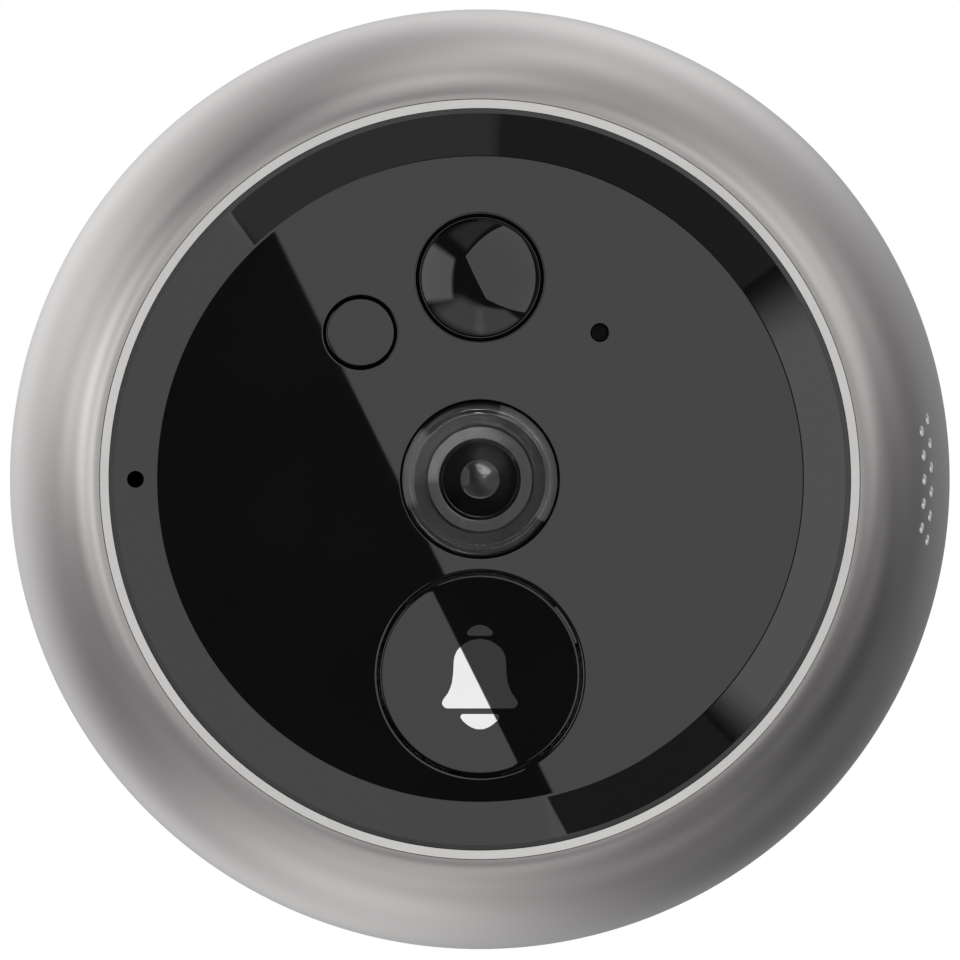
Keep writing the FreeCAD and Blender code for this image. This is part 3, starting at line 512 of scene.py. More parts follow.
def solid_piece(name: str, mesh: Mesh) -> Piece:
    """Makes an object of a mesh, smooth but for its sharp edges.

    Args:
        name: the piece's name.
        mesh: its mesh, which is freed.

    Returns:
        The object, at the origin.
    """
    data = bpy.data.meshes.new(name)
    mesh.to_mesh(data)
    mesh.free()
    smoothed(data)
    piece = bpy.data.objects.new(name, data)
    bpy.context.scene.collection.objects.link(piece)
    return piece


def joined(meshes: list[Mesh]) -> Mesh:
    """Puts several meshes into one.

    Args:
        meshes: the meshes, which are freed.

    Returns:
        One mesh of them all.
    """
    whole = bmesh.new()
    for mesh in meshes:
        data = bpy.data.meshes.new("part")
        mesh.to_mesh(data)
        mesh.free()
        whole.from_mesh(data)
        bpy.data.meshes.remove(data)
    return whole


def trimmed(piece: Piece, tool: Mesh, keep_inside: bool) -> None:
    """Cuts a piece with a closed mesh.

    Args:
        piece: the piece, whose mesh is replaced.
        tool: the closed mesh, which is freed.
        keep_inside: keeps what lies inside the tool, and not what lies outside.
    """
    cutter = solid_piece("tool", tool)
    cut = piece.modifiers.new("cut", "BOOLEAN")
    cut.operation = "INTERSECT" if keep_inside else "DIFFERENCE"
    cut.solver = "EXACT"
    cut.object = cutter
    data = bpy.data.meshes.new_from_object(piece.evaluated_get(bpy.context.evaluated_depsgraph_get()))
    piece.modifiers.remove(cut)
    old = piece.data
    piece.data = data
    bpy.data.meshes.remove(old)
    bpy.data.objects.remove(cutter)
    data.name = piece.name
    smoothed(data)


def box_mesh(length: float, depth: float, width: float) -> Mesh:
    """A box round the origin, in millimetres along x, y and z."""
    mesh = bmesh.new()
    bmesh.ops.create_cube(mesh, size=1.0)
    bmesh.ops.transform(mesh, matrix=Matrix.Diagonal((length * MM, depth * MM, width * MM, 1.0)), verts=mesh.verts[:])
    return mesh


@dataclass
class SubAssembly:
    """A group of pieces round one line square to the door."""

    shop: Workshop
    place: Place = AXIS
    pieces: list[Piece] = field(default_factory=list)

    def dress(self, piece: Piece, finish: Finish, *nodes: str, body: Body = Body.UNIT) -> Piece:
        """Gives a piece its finish and its body, and hides the CAD nodes that it stands for.

        Args:
            piece: the piece.
            finish: its finish.
            nodes: the CAD nodes that it replaces.
            body: the body that it rides on.

        Returns:
            The piece.
        """
        piece.data.materials.clear()
        piece.data.materials.append(self.shop.material(finish))
        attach(piece, body.value)
        if nodes:
            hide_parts(*nodes)
        self.pieces.append(piece)
        return piece

    def turned(self, name: str, corners: Corners, closed: bool, steps: int, finish: Finish, *nodes: str,
               body: Body = Body.UNIT) -> Piece:
        """Turns an outline about the group's line and dresses the piece.

        Args:
            name: the piece's name.
            corners: (radius, height) or (radius, height, rounding) of each corner.
            closed: whether the outline is a loop.
            steps: how many facets go round.
            finish: its finish.
            nodes: the CAD nodes that it replaces.
            body: the body that it rides on.

        Returns:
            The piece.
        """
        piece = solid_piece(name, lathe(softened(corners, closed), self.place, steps, closed))
        return self.dress(piece, finish, *nodes, body=body)

    def paint_rim(self, piece: Piece, finish: Finish, beyond: float, facing: float = 2.0) -> None:
        """Gives a piece's faces beyond a radius a further finish.

        Args:
            piece: the piece.
            finish: the finish of those faces.
            beyond: the radius from the group's line.
            facing: the normal's y stays below this.
        """
        piece.data.materials.append(self.shop.material(finish))
        for polygon in piece.data.polygons:
            middle = polygon.center / MM
            away = math.hypot(middle.x - self.place[0], middle.z - self.place[1])
            if away > beyond and polygon.normal.y < facing:
                polygon.material_index = len(piece.data.materials) - 1


@dataclass
class HousingShell(SubAssembly):
    """The satin metal housing with its speaker holes, and the bright trim ring."""

    radius: float = 34.0
    back: float = 1.0
    front: float = 18.65
    wall: float = 1.6
    foot_chamfer: float = 0.4
    foot_round: float = 0.12
    bore: float = 31.6
    recess: float = 32.2
    recess_round: float = 0.1
    cover_height: float = 3.0
    brow: float = 14.45
    ledge: float = 17.2
    trim_inner: float = 26.71
    trim_outer: float = 27.38
    trim_top: float = 18.8
    trim_chamfer: float = 0.02
    trim_round: float = 0.008
    lip_radius: float = 27.39
    lip_round: float = 0.02
    steps: int = 256
    hole_radius: float = 0.4
    hole_mouth: float = 0.2
    hole_steps: int = 32
    bore_radius: float = 0.12
    bowl_depth: float = 0.3
    bowl_steps: int = 8
    hole_pitch: float = 1.75
    hole_inset: float = 1.67
    row_counts: tuple[int, int] = (5, 6)

    def __post_init__(self) -> None:
        """Works out the half width and the half height of the crown's ellipse."""
        self.reach = self.radius - CROWN_RADIUS
        self.rise = self.front - SHOULDER

    def build_ring(self) -> None:
        """Makes the housing ring, drills its speaker holes and gives their walls a near-white metal, a painted glint.
        """
        middle = (CROWN_RADIUS, SHOULDER)
        crown = ellipse_points(middle, self.reach, self.rise, math.pi / 2, 0.0, 64)
        inner_reach = self.reach - self.wall
        inner_rise = self.rise - self.wall
        first = math.asin((self.bore - CROWN_RADIUS) / inner_reach)
        last = math.acos((self.brow - SHOULDER) / inner_rise)
        corners = [(self.radius - self.foot_chamfer, self.back, self.foot_round),
                   (self.radius, self.back + self.foot_chamfer, self.foot_round), *crown[:-1],
                   (self.lip_radius, self.front, self.lip_round), (self.lip_radius, self.ledge),
                   (self.trim_inner, self.ledge), (self.trim_inner, self.brow),
                   *ellipse_points(middle, inner_reach, inner_rise, last, first, 12),
                   (self.bore, self.cover_height), (self.recess, self.cover_height),
                   (self.recess, self.back, self.recess_round)]
        ring = solid_piece("housing_ring_skin", lathe(softened(corners, True), AXIS, self.steps, True))
        trimmed(ring, joined(self.hole_drills()), False)
        self.dress(ring, SATIN_METAL, "housing_ring")
        # Painted glint: the hole walls get the near-white metal
        ring.data.materials.append(self.shop.material(HOLE_GLINT_METAL))
        for polygon in ring.data.polygons:
            if self.in_hole(polygon.center / MM):
                polygon.material_index = 1

    def in_hole(self, spot: Vector) -> bool:
        """Tells whether a point of the ring lies on a hole's wall, between the inner and the outer surface."""
        across = (math.hypot(spot.x, spot.z) - CROWN_RADIUS) / self.reach
        up = (-spot.y - SHOULDER) / self.rise
        near = spot.x > 0.0 and abs(spot.z) < self.hole_pitch * max(self.row_counts)
        return near and across > 0.4 and up > 0.2 and 0.72 < math.hypot(across, up) < 0.998

    def hole_drills(self) -> list[Mesh]:
        """Makes the drills of the two staggered rows of speaker holes.

        Returns:
            The drills, as closed meshes.
        """
        middle = math.asin((self.radius - self.hole_inset - CROWN_RADIUS) / self.reach)
        speed = math.hypot(self.reach * math.cos(middle), self.rise * math.sin(middle))
        half_row = self.hole_pitch * math.sqrt(3) / 4 / speed
        drills = []
        for count, angle in zip(self.row_counts, (middle - half_row, middle + half_row)):
            radius = CROWN_RADIUS + self.reach * math.sin(angle)
            height = SHOULDER + self.rise * math.cos(angle)
            lean = Vector((math.sin(angle) / self.reach, math.cos(angle) / self.rise)).normalized()
            for k in range(count):
                turn = (k - (count - 1) / 2) * self.hole_pitch / radius
                outward = Vector((lean.x * math.cos(turn), -lean.y, lean.x * math.sin(turn)))
                drills.append(self.hole_drill(at(AXIS, radius, height, turn), outward))
        return drills

    def hole_drill(self, spot: Vector, outward: Vector) -> Mesh:
        """Makes one drill, a narrow bore with a bowl at its mouth.

        Args:
            spot: where its line meets the housing's surface.
            outward: its direction out of the housing.

        Returns:
            The closed mesh of the drill.
        """
        length = 2 * self.wall
        quarter = math.pi / 2 / self.bowl_steps
        widening = self.hole_radius - self.bore_radius
        bowl = [(self.bore_radius + widening * math.sin(k * quarter), -self.bowl_depth * math.cos(k * quarter))
                for k in range(self.bowl_steps + 1)]
        outline = [(0.0, -length), (self.bore_radius, -length), *bowl,
                   (self.hole_radius + self.hole_mouth, self.bowl_depth), (0.0, self.bowl_depth)]
        drill = lathe(outline, AXIS, self.hole_steps, False)
        swing = Vector((0.0, -1.0, 0.0)).rotation_difference(outward).to_matrix().to_4x4()
        bmesh.ops.transform(drill, matrix=Matrix.Translation(spot) @ swing, verts=drill.verts[:])
        return drill

    def build(self) -> None:
        """Builds the housing and its trim."""
        self.build_ring()
        chamfer, soft = self.trim_chamfer, self.trim_round
        corners = [(self.trim_inner, self.ledge), (self.trim_outer, self.ledge),
                   (self.trim_outer, self.trim_top - chamfer, soft), (self.trim_outer - chamfer, self.trim_top, soft),
                   (self.trim_inner + chamfer, self.trim_top, soft), (self.trim_inner, self.trim_top - chamfer, soft)]
        self.turned("trim_ring_skin", corners, True, self.steps, BRIGHT_TRIM, "trim_ring")


@dataclass(frozen=True)
class Opening:
    """A round hole in the panel's flat face, with the rounding of its mouth."""

    place: Place
    radius: float
    mouth: float


@dataclass
class FacePanel(SubAssembly):
    """The gloss black face: a flat disc in a raised sloping border."""

    radius: float = 26.7
    rim_radius: float = 26.35
    flat_radius: float = 23.3
    rim_height: float = 19.217
    rim_round: float = 0.04
    back_round: float = 0.05
    crease_round: float = 0.3
    overlap: float = 0.3
    mouth_overlap: float = 0.2
    steps: int = 256
    mouth_steps: int = 128
    sound_hole: float = 0.61
    sound_place: Place = (-24.8, 0.0)
    sound_steps: int = 48
    openings: tuple[Opening, ...] = (
        Opening((0.0, 0.0), 5.75, 0.03),
        Opening((0.0, 14.53), 4.68, 0.05),
        Opening((-8.63, 10.56), 2.66, 0.08),
        Opening((8.63, 10.56), 0.65, 0.06),
        Opening((0.0, -14.08), 7.38, 0.22),
    )

    def border(self) -> Mesh:
        """Turns the panel's back edge, outer wall, rounded rim and sloping border.

        Returns:
            The open mesh, whose two rims lie on the flat faces.
        """
        corners = [(self.radius - self.overlap, PANEL_BACK), (self.radius, PANEL_BACK, self.back_round),
                   (self.radius, self.rim_height, self.rim_round), (self.rim_radius, self.rim_height, self.rim_round),
                   (self.flat_radius, FACE, self.crease_round), (self.flat_radius - self.overlap, FACE)]
        return lathe(softened(corners, False), AXIS, self.steps, False)

    def mouth(self, opening: Opening) -> Mesh:
        """Turns the wall and the rounded mouth of one opening.

        Args:
            opening: the opening.

        Returns:
            The open mesh of its wall.
        """
        outside = opening.radius + self.mouth_overlap
        corners = [(outside, FACE), (opening.radius, FACE, opening.mouth), (opening.radius, PANEL_BACK, 0.04),
                   (outside, PANEL_BACK)]
        return lathe(softened(corners, False), opening.place, self.mouth_steps, False)

    def build(self) -> None:
        """Builds the panel with its openings."""
        panel = joined([self.border()] + [self.mouth(opening) for opening in self.openings])
        for height in (FACE, PANEL_BACK):
            rims = [edge for edge in panel.edges if edge.is_boundary
                    and all(abs(vert.co.y + height * MM) < MERGE for vert in edge.verts)]
            bmesh.ops.triangle_fill(panel, edges=rims, use_beauty=True, normal=(0.0, -1.0, 0.0))
        bmesh.ops.recalc_face_normals(panel, faces=panel.faces[:])
        skin = solid_piece("front_panel_skin", panel)
        low, high = PANEL_BACK - 1.0, self.rim_height + 1.0
        drill = [(0.0, low), (self.sound_hole, low), (self.sound_hole, high), (0.0, high)]
        trimmed(skin, lathe(drill, self.sound_place, self.sound_steps, False), False)
        self.dress(skin, GLOSS_BLACK, "front_panel")
        self.paint_rim(skin, GROUND_RIM, self.rim_radius, -0.9)


@dataclass
class CameraEye(SubAssembly):
    """The camera behind its clear cover: window, stepped baffle, barrel, black cone and glasses."""

    window_radius: float = 5.6
    window_flange: float = 6.05
    window_face: float = 18.32
    window_bevel: float = 0.82
    window_wall: float = 0.65
    window_round: float = 0.08
    skin_depth: float = 0.01
    barrel_radius: float = 3.85
    barrel_bore: float = 2.2
    barrel_foot: float = 9.47
    barrel_front: float = 16.87
    barrel_chamfer: float = 0.08
    element_radius: float = 2.99
    element_seat: float = 15.87
    element_rise: float = 0.6
    element_play: float = 0.03
    seat_slope: float = 0.25
    baffle_outer: float = 5.25
    baffle_bore: float = 3.95
    baffle_foot: float = 13.75
    baffle_front: float = 16.82
    baffle_steps: int = 4
    baffle_rake: float = 0.02
    baffle_drop: float = 0.06
    edge_round: float = 0.02
    iris_radius: float = 1.3
    iris_outer: float = 2.78
    iris_drop: float = 0.42
    iris_fall: float = 0.32
    iris_wall: float = 0.15
    pupil_sphere: float = 2.33
    pupil_top: float = 16.9
    pupil_foot: float = 0.3
    glass_wall: float = 0.12
    blackened_radius: float = 2.72
    line_width: float = 0.09
    line_height: float = 0.1
    dome_steps: int = 24
    steps: int = 192
    glass_steps: int = 128
    pupil_steps: int = 96

    def build_window(self) -> None:
        """Makes the clear cover."""
        inner = self.window_radius - self.window_wall
        face = self.window_face
        under = face - self.window_wall
        soft = self.window_round
        corners = [(0.0, face), (self.window_radius - self.window_bevel, face, 0.05),
                   (self.window_radius, FACE, 0.04), (self.window_radius, SEAT), (self.window_flange, SEAT),
                   (self.window_flange, FOOT), (inner, FOOT), (inner, FACE - self.window_wall / 2, soft),
                   (inner - self.window_bevel, under, soft), (0.0, under)]
        window = self.turned("lens_window", corners, False, self.steps, CLEAR_WINDOW, "lens_cover")
        self.paint_rim(window, WINDOW_EDGE, self.window_radius - self.window_bevel - soft)
        self.paint_rim(window, DEEP_BLACK, self.window_radius - self.skin_depth)

    def build_baffle(self) -> None:
        """Makes the stepped black baffle round the barrel."""
        tread = (self.baffle_outer - self.baffle_bore) / self.baffle_steps
        height = self.baffle_front
        corners = [(self.baffle_bore, self.baffle_foot), (self.baffle_outer, self.baffle_foot),
                   (self.baffle_outer, height, 0.03)]
        for k in range(1, self.baffle_steps + 1):
            radius = self.baffle_outer - k * tread
            height -= self.baffle_rake * tread
            corners.append((radius, height, 0.03))
            if k < self.baffle_steps:
                height -= self.baffle_drop
                corners.append((radius, height))
        self.turned("lens_baffle", corners, True, self.steps, LENS_BLACK, "lens_shroud")

    def build_barrel(self) -> None:
        """Makes the barrel with its chamfered front and its glass seat."""
        top = self.barrel_front
        seat = self.element_seat - 0.05
        bore = self.element_radius + 0.02
        chamfer, soft, slope = self.barrel_chamfer, self.edge_round, self.seat_slope
        corners = [(self.barrel_bore, self.barrel_foot), (self.barrel_radius, self.barrel_foot),
                   (self.barrel_radius, top - chamfer, soft), (self.barrel_radius - chamfer, top, soft),
                   (bore, top, soft), (bore, seat), (self.barrel_bore + slope, seat, soft),
                   (self.barrel_bore, seat - slope)]
        self.turned("lens_tube", corners, True, self.steps, RING_BLACK, "lens_barrel")

    def build_front_glass(self) -> None:
        """Makes the domed front glass, hollow behind, with its blackened rim."""
        radius = self.element_radius - self.element_play
        rise = self.element_rise
        top = self.barrel_front - 0.05 + rise
        sphere = (radius * radius + rise * rise) / (2 * rise)
        inner = radius - self.glass_wall
        depth = top - self.glass_wall - self.element_seat
        turn = math.pi / self.dome_steps
        hollow = [(inner * math.cos(k * turn), self.element_seat + depth * math.sin(k * turn))
                  for k in range(self.dome_steps // 2 + 1)]
        corners = dome_points(sphere, radius, top, self.dome_steps) + [(radius, self.element_seat)] + hollow
        glass = self.turned("lens_front_glass", corners, False, self.glass_steps, LENS_GLASS, "lens_front_element")
        self.paint_rim(glass, DEEP_BLACK, self.blackened_radius)

    def build_iris(self) -> None:
        """Makes the black cone round the inner glass, with a fine gloss ring at each of its edges."""
        high = self.pupil_top - self.iris_drop
        low = high - self.iris_fall
        corners = [(self.iris_radius, high, 0.03), (self.iris_outer, low), (self.iris_outer, low - self.iris_wall),
                   (self.iris_radius + 0.05, high - self.iris_wall)]
        self.turned("lens_iris", corners, True, self.glass_steps, DEEP_BLACK)
        rings = []
        for near, height in ((self.iris_radius + 0.02, high + 0.04), (self.iris_outer - self.line_width, low + 0.06)):
            far, foot = near + self.line_width, height - self.line_height
            corners = [(near, height, self.edge_round), (far, height, self.edge_round), (far, foot), (near, foot)]
            rings.append(lathe(softened(corners, True), self.place, self.glass_steps, True))
        self.dress(solid_piece("lens_lines", joined(rings)), RING_BLACK)

    def build_pupil(self) -> None:
        """Makes the strongly curved inner glass that gives the bright glint."""
        dome = dome_points(self.pupil_sphere, self.iris_radius + 0.02, self.pupil_top, self.dome_steps)
        foot = dome[-1][1] - self.pupil_foot
        self.turned("lens_pupil", dome + [(dome[-1][0], foot), (0.0, foot)], False, self.pupil_steps, PUPIL_GLASS)

    def build(self) -> None:
        """Builds the camera's visible pieces."""
        self.build_window()
        self.build_baffle()
        self.build_barrel()
        self.build_front_glass()
        self.build_iris()
        self.build_pupil()


@dataclass
class MotionEye(SubAssembly):
    """The motion sensor's dark dome in its rubber ring."""

    place: Place = (0.0, 14.53)
    radius: float = 4.3
    flange: float = 5.3
    rim: float = 17.75
    top: float = 19.45
    sphere: float = 6.3
    wall: float = 0.6
    seal_inner: float = 4.35
    seal_outer: float = 4.63
    seal_top: float = 17.25
    seal_round: float = 0.1
    flange_round: float = 0.05
    dome_steps: int = 40

    def build(self) -> None:
        """Builds the dome and its ring."""
        inner = self.radius - self.wall
        corners = dome_points(self.sphere, self.radius - 0.03, self.top, self.dome_steps)
        corners += [(self.radius, self.rim - 0.06), (self.radius, SEAT), (self.flange, SEAT, self.flange_round),
                    (self.flange, FOOT, self.flange_round), (inner, FOOT), (inner, self.rim),
                    (inner / 2, self.top - 2 * self.wall), (0.0, self.top - self.wall)]
        self.turned("motion_dome", corners, False, 192, DARK_LENS, "pir_lens")
        ring = [(self.seal_inner, PANEL_BACK), (self.seal_outer, PANEL_BACK),
                (self.seal_outer, self.seal_top, self.seal_round), (self.seal_inner, self.seal_top, self.seal_round)]
        self.turned("motion_seal", ring, True, 128, SEAL_BLACK, "pir_seal")


@dataclass
class NightLight(SubAssembly):
    """The flush dark window over the infrared lamp."""

    place: Place = (-8.63, 10.56)
    radius: float = 2.46
    flange: float = 3.21
    face_round: float = 0.1
    flange_round: float = 0.05

    def build(self) -> None:
        """Builds the window."""
        corners = [(0.0, FACE), (self.radius, FACE, self.face_round), (self.radius, SEAT),
                   (self.flange, SEAT, self.flange_round), (self.flange, FOOT, self.flange_round), (0.0, FOOT)]
        window = self.turned("night_window", corners, False, 96, DARK_WINDOW, "infrared_window")
        self.paint_rim(window, DEEP_BLACK, self.radius - 0.01)


@dataclass
class BellButton(SubAssembly):
    """The doorbell button: dished gloss cap with its metallic bell, and the silicone seal behind it."""

    place: Place = (0.0, -14.08)
    radius: float = 7.2
    edge_round: float = 0.14
    dish: float = 0.35
    dish_steps: int = 40
    foot: float = 15.1
    wall: float = 0.95
    roof: float = 1.2
    tab_reach: float = 0.9
    tab_width: float = 3.0
    tab_thickness: float = 0.95
    tab_top: float = 16.1
    tab_angles: tuple[float, float, float] = (-90.0, 30.0, 150.0)
    print_reach: float = 5.2
    print_rise: float = 0.02
    print_sink: float = 0.03
    travel_keep: float = 0.3
    seal_base: float = 13.0
    crown: tuple[Place, ...] = ((0.0, 3.59), (0.15, 3.585), (0.43, 3.5), (0.67, 3.36), (0.82, 3.21), (0.93, 3.07),
                                (0.93, 2.96), (0.83, 2.85), (0.72, 2.81), (0.0, 2.81))
    body: tuple[Place, ...] = ((0.0, 2.575), (0.25, 2.56), (0.72, 2.45), (1.09, 2.25), (1.43, 2.0), (1.66, 1.71),
                               (1.81, 1.37), (1.88, 1.0), (1.90, 0.5), (1.93, 0.0), (2.01, -0.586), (2.13, -0.95),
                               (2.29, -1.31), (2.5, -1.6), (2.66, -1.816), (2.73, -2.03), (2.68, -2.21),
                               (2.53, -2.36), (2.39, -2.42), (0.0, -2.42))
    clapper: tuple[Place, ...] = ((0.0, -2.83), (1.23, -2.83), (1.36, -2.9), (1.40, -3.05), (1.27, -3.285),
                                  (0.98, -3.55), (0.65, -3.77), (0.29, -3.91), (0.0, -3.93))

    def dish_points(self, count: int, lift: float, reach: float) -> Points:
        """Points down the dished face from its centre.

        Args:
            count: how many stretches.
            lift: how far above the face.
            reach: the radius of the last point.

        Returns:
            Radius and height of each point.
        """
        edge = self.radius - self.edge_round
        sphere = (edge * edge + self.dish * self.dish) / (2 * self.dish)
        centre = FACE - self.dish + lift
        radii = [reach * k / count for k in range(count + 1)]
        return [(radius, centre + sphere - math.sqrt(sphere * sphere - radius * radius)) for radius in radii]

    def build_cap(self) -> None:
        """Makes the cap with its three tabs."""
        inner = self.radius - self.wall
        under = FACE - self.dish - self.roof
        corners = self.dish_points(self.dish_steps, 0.0, self.radius - self.edge_round - GUARD)
        corners += [(self.radius, FACE, self.edge_round - 0.02), (self.radius, self.foot, 0.05),
                    (inner, self.foot), (inner, under), (0.0, under)]
        meshes = [lathe(softened(corners, False), self.place, 192, False)]
        root = self.radius - self.wall / 2
        length = self.radius + self.tab_reach - root
        middle = at(self.place, 0.0, self.tab_top - self.tab_thickness / 2)
        for angle in self.tab_angles:
            tab = box_mesh(length, self.tab_thickness, self.tab_width)
            swing = Matrix.Rotation(-math.radians(angle), 4, "Y")
            shift = Matrix.Translation(((root + length / 2) * MM, 0.0, 0.0))
            bmesh.ops.transform(tab, matrix=Matrix.Translation(middle) @ swing @ shift, verts=tab.verts[:])
            meshes.append(tab)
        self.dress(solid_piece("button_cap_skin", joined(meshes)), CAP_BLACK, "button_cap", body=Body.BUTTON)

    def print_prism(self, half: tuple[Place, ...]) -> Mesh:
        """Makes a straight prism of a mirrored half outline, through the cap's face.

        Args:
            half: the right half of the outline, as x and z from the button's centre.

        Returns:
            The closed mesh.
        """
        left = [(-x, z) for x, z in reversed(half) if x > 0.0]
        prism = bmesh.new()
        centre = Vector((self.place[0], -(FACE + 1.0), self.place[1]))
        verts = [prism.verts.new((centre + Vector((x, 0.0, z))) * MM) for x, z in list(half) + left]
        edges = [prism.edges.new(pair) for pair in zip(verts, verts[1:] + verts[:1])]
        bmesh.ops.contextual_create(prism, geom=edges)
        grown = bmesh.ops.extrude_face_region(prism, geom=prism.faces[:] + prism.edges[:] + prism.verts[:])
        moved = [item for item in grown["geom"] if isinstance(item, bmesh.types.BMVert)]
        bmesh.ops.translate(prism, vec=(0.0, 3.0 * MM, 0.0), verts=moved)
        bmesh.ops.recalc_face_normals(prism, faces=prism.faces[:])
        return prism

    def build_print(self) -> None:
        """Makes the bell's crown, body and clapper as thin metallic prints on the dish."""
        face = self.dish_points(self.dish_steps, self.print_rise, self.print_reach)
        back = self.dish_points(4, -self.print_sink, self.print_reach)[::-1]
        for name, half in (("bell_crown", self.crown), ("bell_body", self.body), ("bell_clapper", self.clapper)):
            piece = solid_piece(name, lathe(face + back, self.place, 96, False))
            trimmed(piece, self.print_prism(half), True)
            self.dress(piece, BELL_SILVER, body=Body.BUTTON)

    def build_seal(self) -> None:
        """Makes the silicone seal, on a mesh of its own."""
        corners = [(0.0, self.seal_base), (2.6, self.seal_base, 0.1), (2.6, 13.4), (6.6, 13.4), (7.7, 13.4, 0.1),
                   (7.7, 14.45, 0.1), (6.6, 14.45), (6.6, 13.8), (2.6, 13.8), (2.6, 14.6, 0.1), (0.0, 14.6)]
        seal = self.turned("button_seal_skin", corners, False, 96, CLEAR_SILICONE, "button_seal")
        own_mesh(seal)

    def build(self) -> None:
        """Builds the cap, its bell and the seal."""
        self.build_cap()
        self.build_print()
        self.build_seal()


@dataclass
class SpeakerGrille(SubAssembly):
    """What shows through the speaker holes: a fine woven mesh, and the foam frame round the speaker."""

    reach: float = 4.89
    rise: float = 14.25
    mesh_low: float = 10.0
    mesh_high: float = 12.9
    mesh_length: float = 12.8
    wire: float = 0.045
    pitch: float = 0.22
    gap: float = 0.06
    gasket_left: float = 29.32
    gasket_low: float = 5.45
    gasket_high: float = 13.8
    gasket_length: float = 16.6
    gasket_wall: float = 0.8
    gasket_cuts: int = 10

    def wall_at(self, height: float) -> float:
        """Radius of the housing's inner wall at a height."""
        return CROWN_RADIUS + self.reach * math.sqrt(1.0 - ((height - SHOULDER) / self.rise) ** 2)

    def build_mesh(self) -> None:
        """Makes the woven mesh bent to the housing's wall."""
        across = round(self.mesh_length / self.pitch)
        up = round((self.mesh_high - self.mesh_low) / self.pitch)
        weave = bmesh.new()
        bmesh.ops.create_grid(weave, x_segments=across, y_segments=up, size=0.5)
        for vert in weave.verts:
            height = self.mesh_low + (self.mesh_high - self.mesh_low) * (vert.co.y + 0.5)
            radius = self.wall_at(height) - self.gap
            vert.co = at(AXIS, radius, height, vert.co.x * self.mesh_length / radius)
        bmesh.ops.wireframe(weave, faces=weave.faces[:], thickness=self.wire * MM, use_replace=True,
                            use_even_offset=False, use_boundary=True)
        bmesh.ops.recalc_face_normals(weave, faces=weave.faces[:])
        self.dress(solid_piece("speaker_weave", weave), MESH_STEEL, "speaker_mesh")

    def build_gasket(self) -> None:
        """Makes the foam frame between the speaker and the wall."""
        foam = bmesh.new()
        low, high, end = self.gasket_low, self.gasket_high, self.gasket_length / 2
        corners = [foam.verts.new((self.gasket_left * MM, -height * MM, z * MM))
                   for height, z in ((low, -end), (low, end), (high, end), (high, -end))]
        face = foam.faces.new(corners)
        bmesh.ops.inset_individual(foam, faces=[face], thickness=self.gasket_wall * MM, use_even_offset=True)
        bmesh.ops.delete(foam, geom=[face], context="FACES_ONLY")
        bmesh.ops.subdivide_edges(foam, edges=foam.edges[:], cuts=self.gasket_cuts, use_grid_fill=True)
        grown = bmesh.ops.extrude_face_region(foam, geom=foam.faces[:])
        for item in grown["geom"]:
            if isinstance(item, bmesh.types.BMVert):
                radius = self.wall_at(-item.co.y / MM) - self.gap
                item.co.x = math.sqrt(radius ** 2 - (item.co.z / MM) ** 2) * MM
        bmesh.ops.recalc_face_normals(foam, faces=foam.faces[:])
        gasket = solid_piece("speaker_foam", foam)
        self.dress(gasket, FOAM_BLACK, "speaker_gasket")

    def build(self) -> None:
        """Builds the mesh and the foam frame."""
        self.build_mesh()
        self.build_gasket()


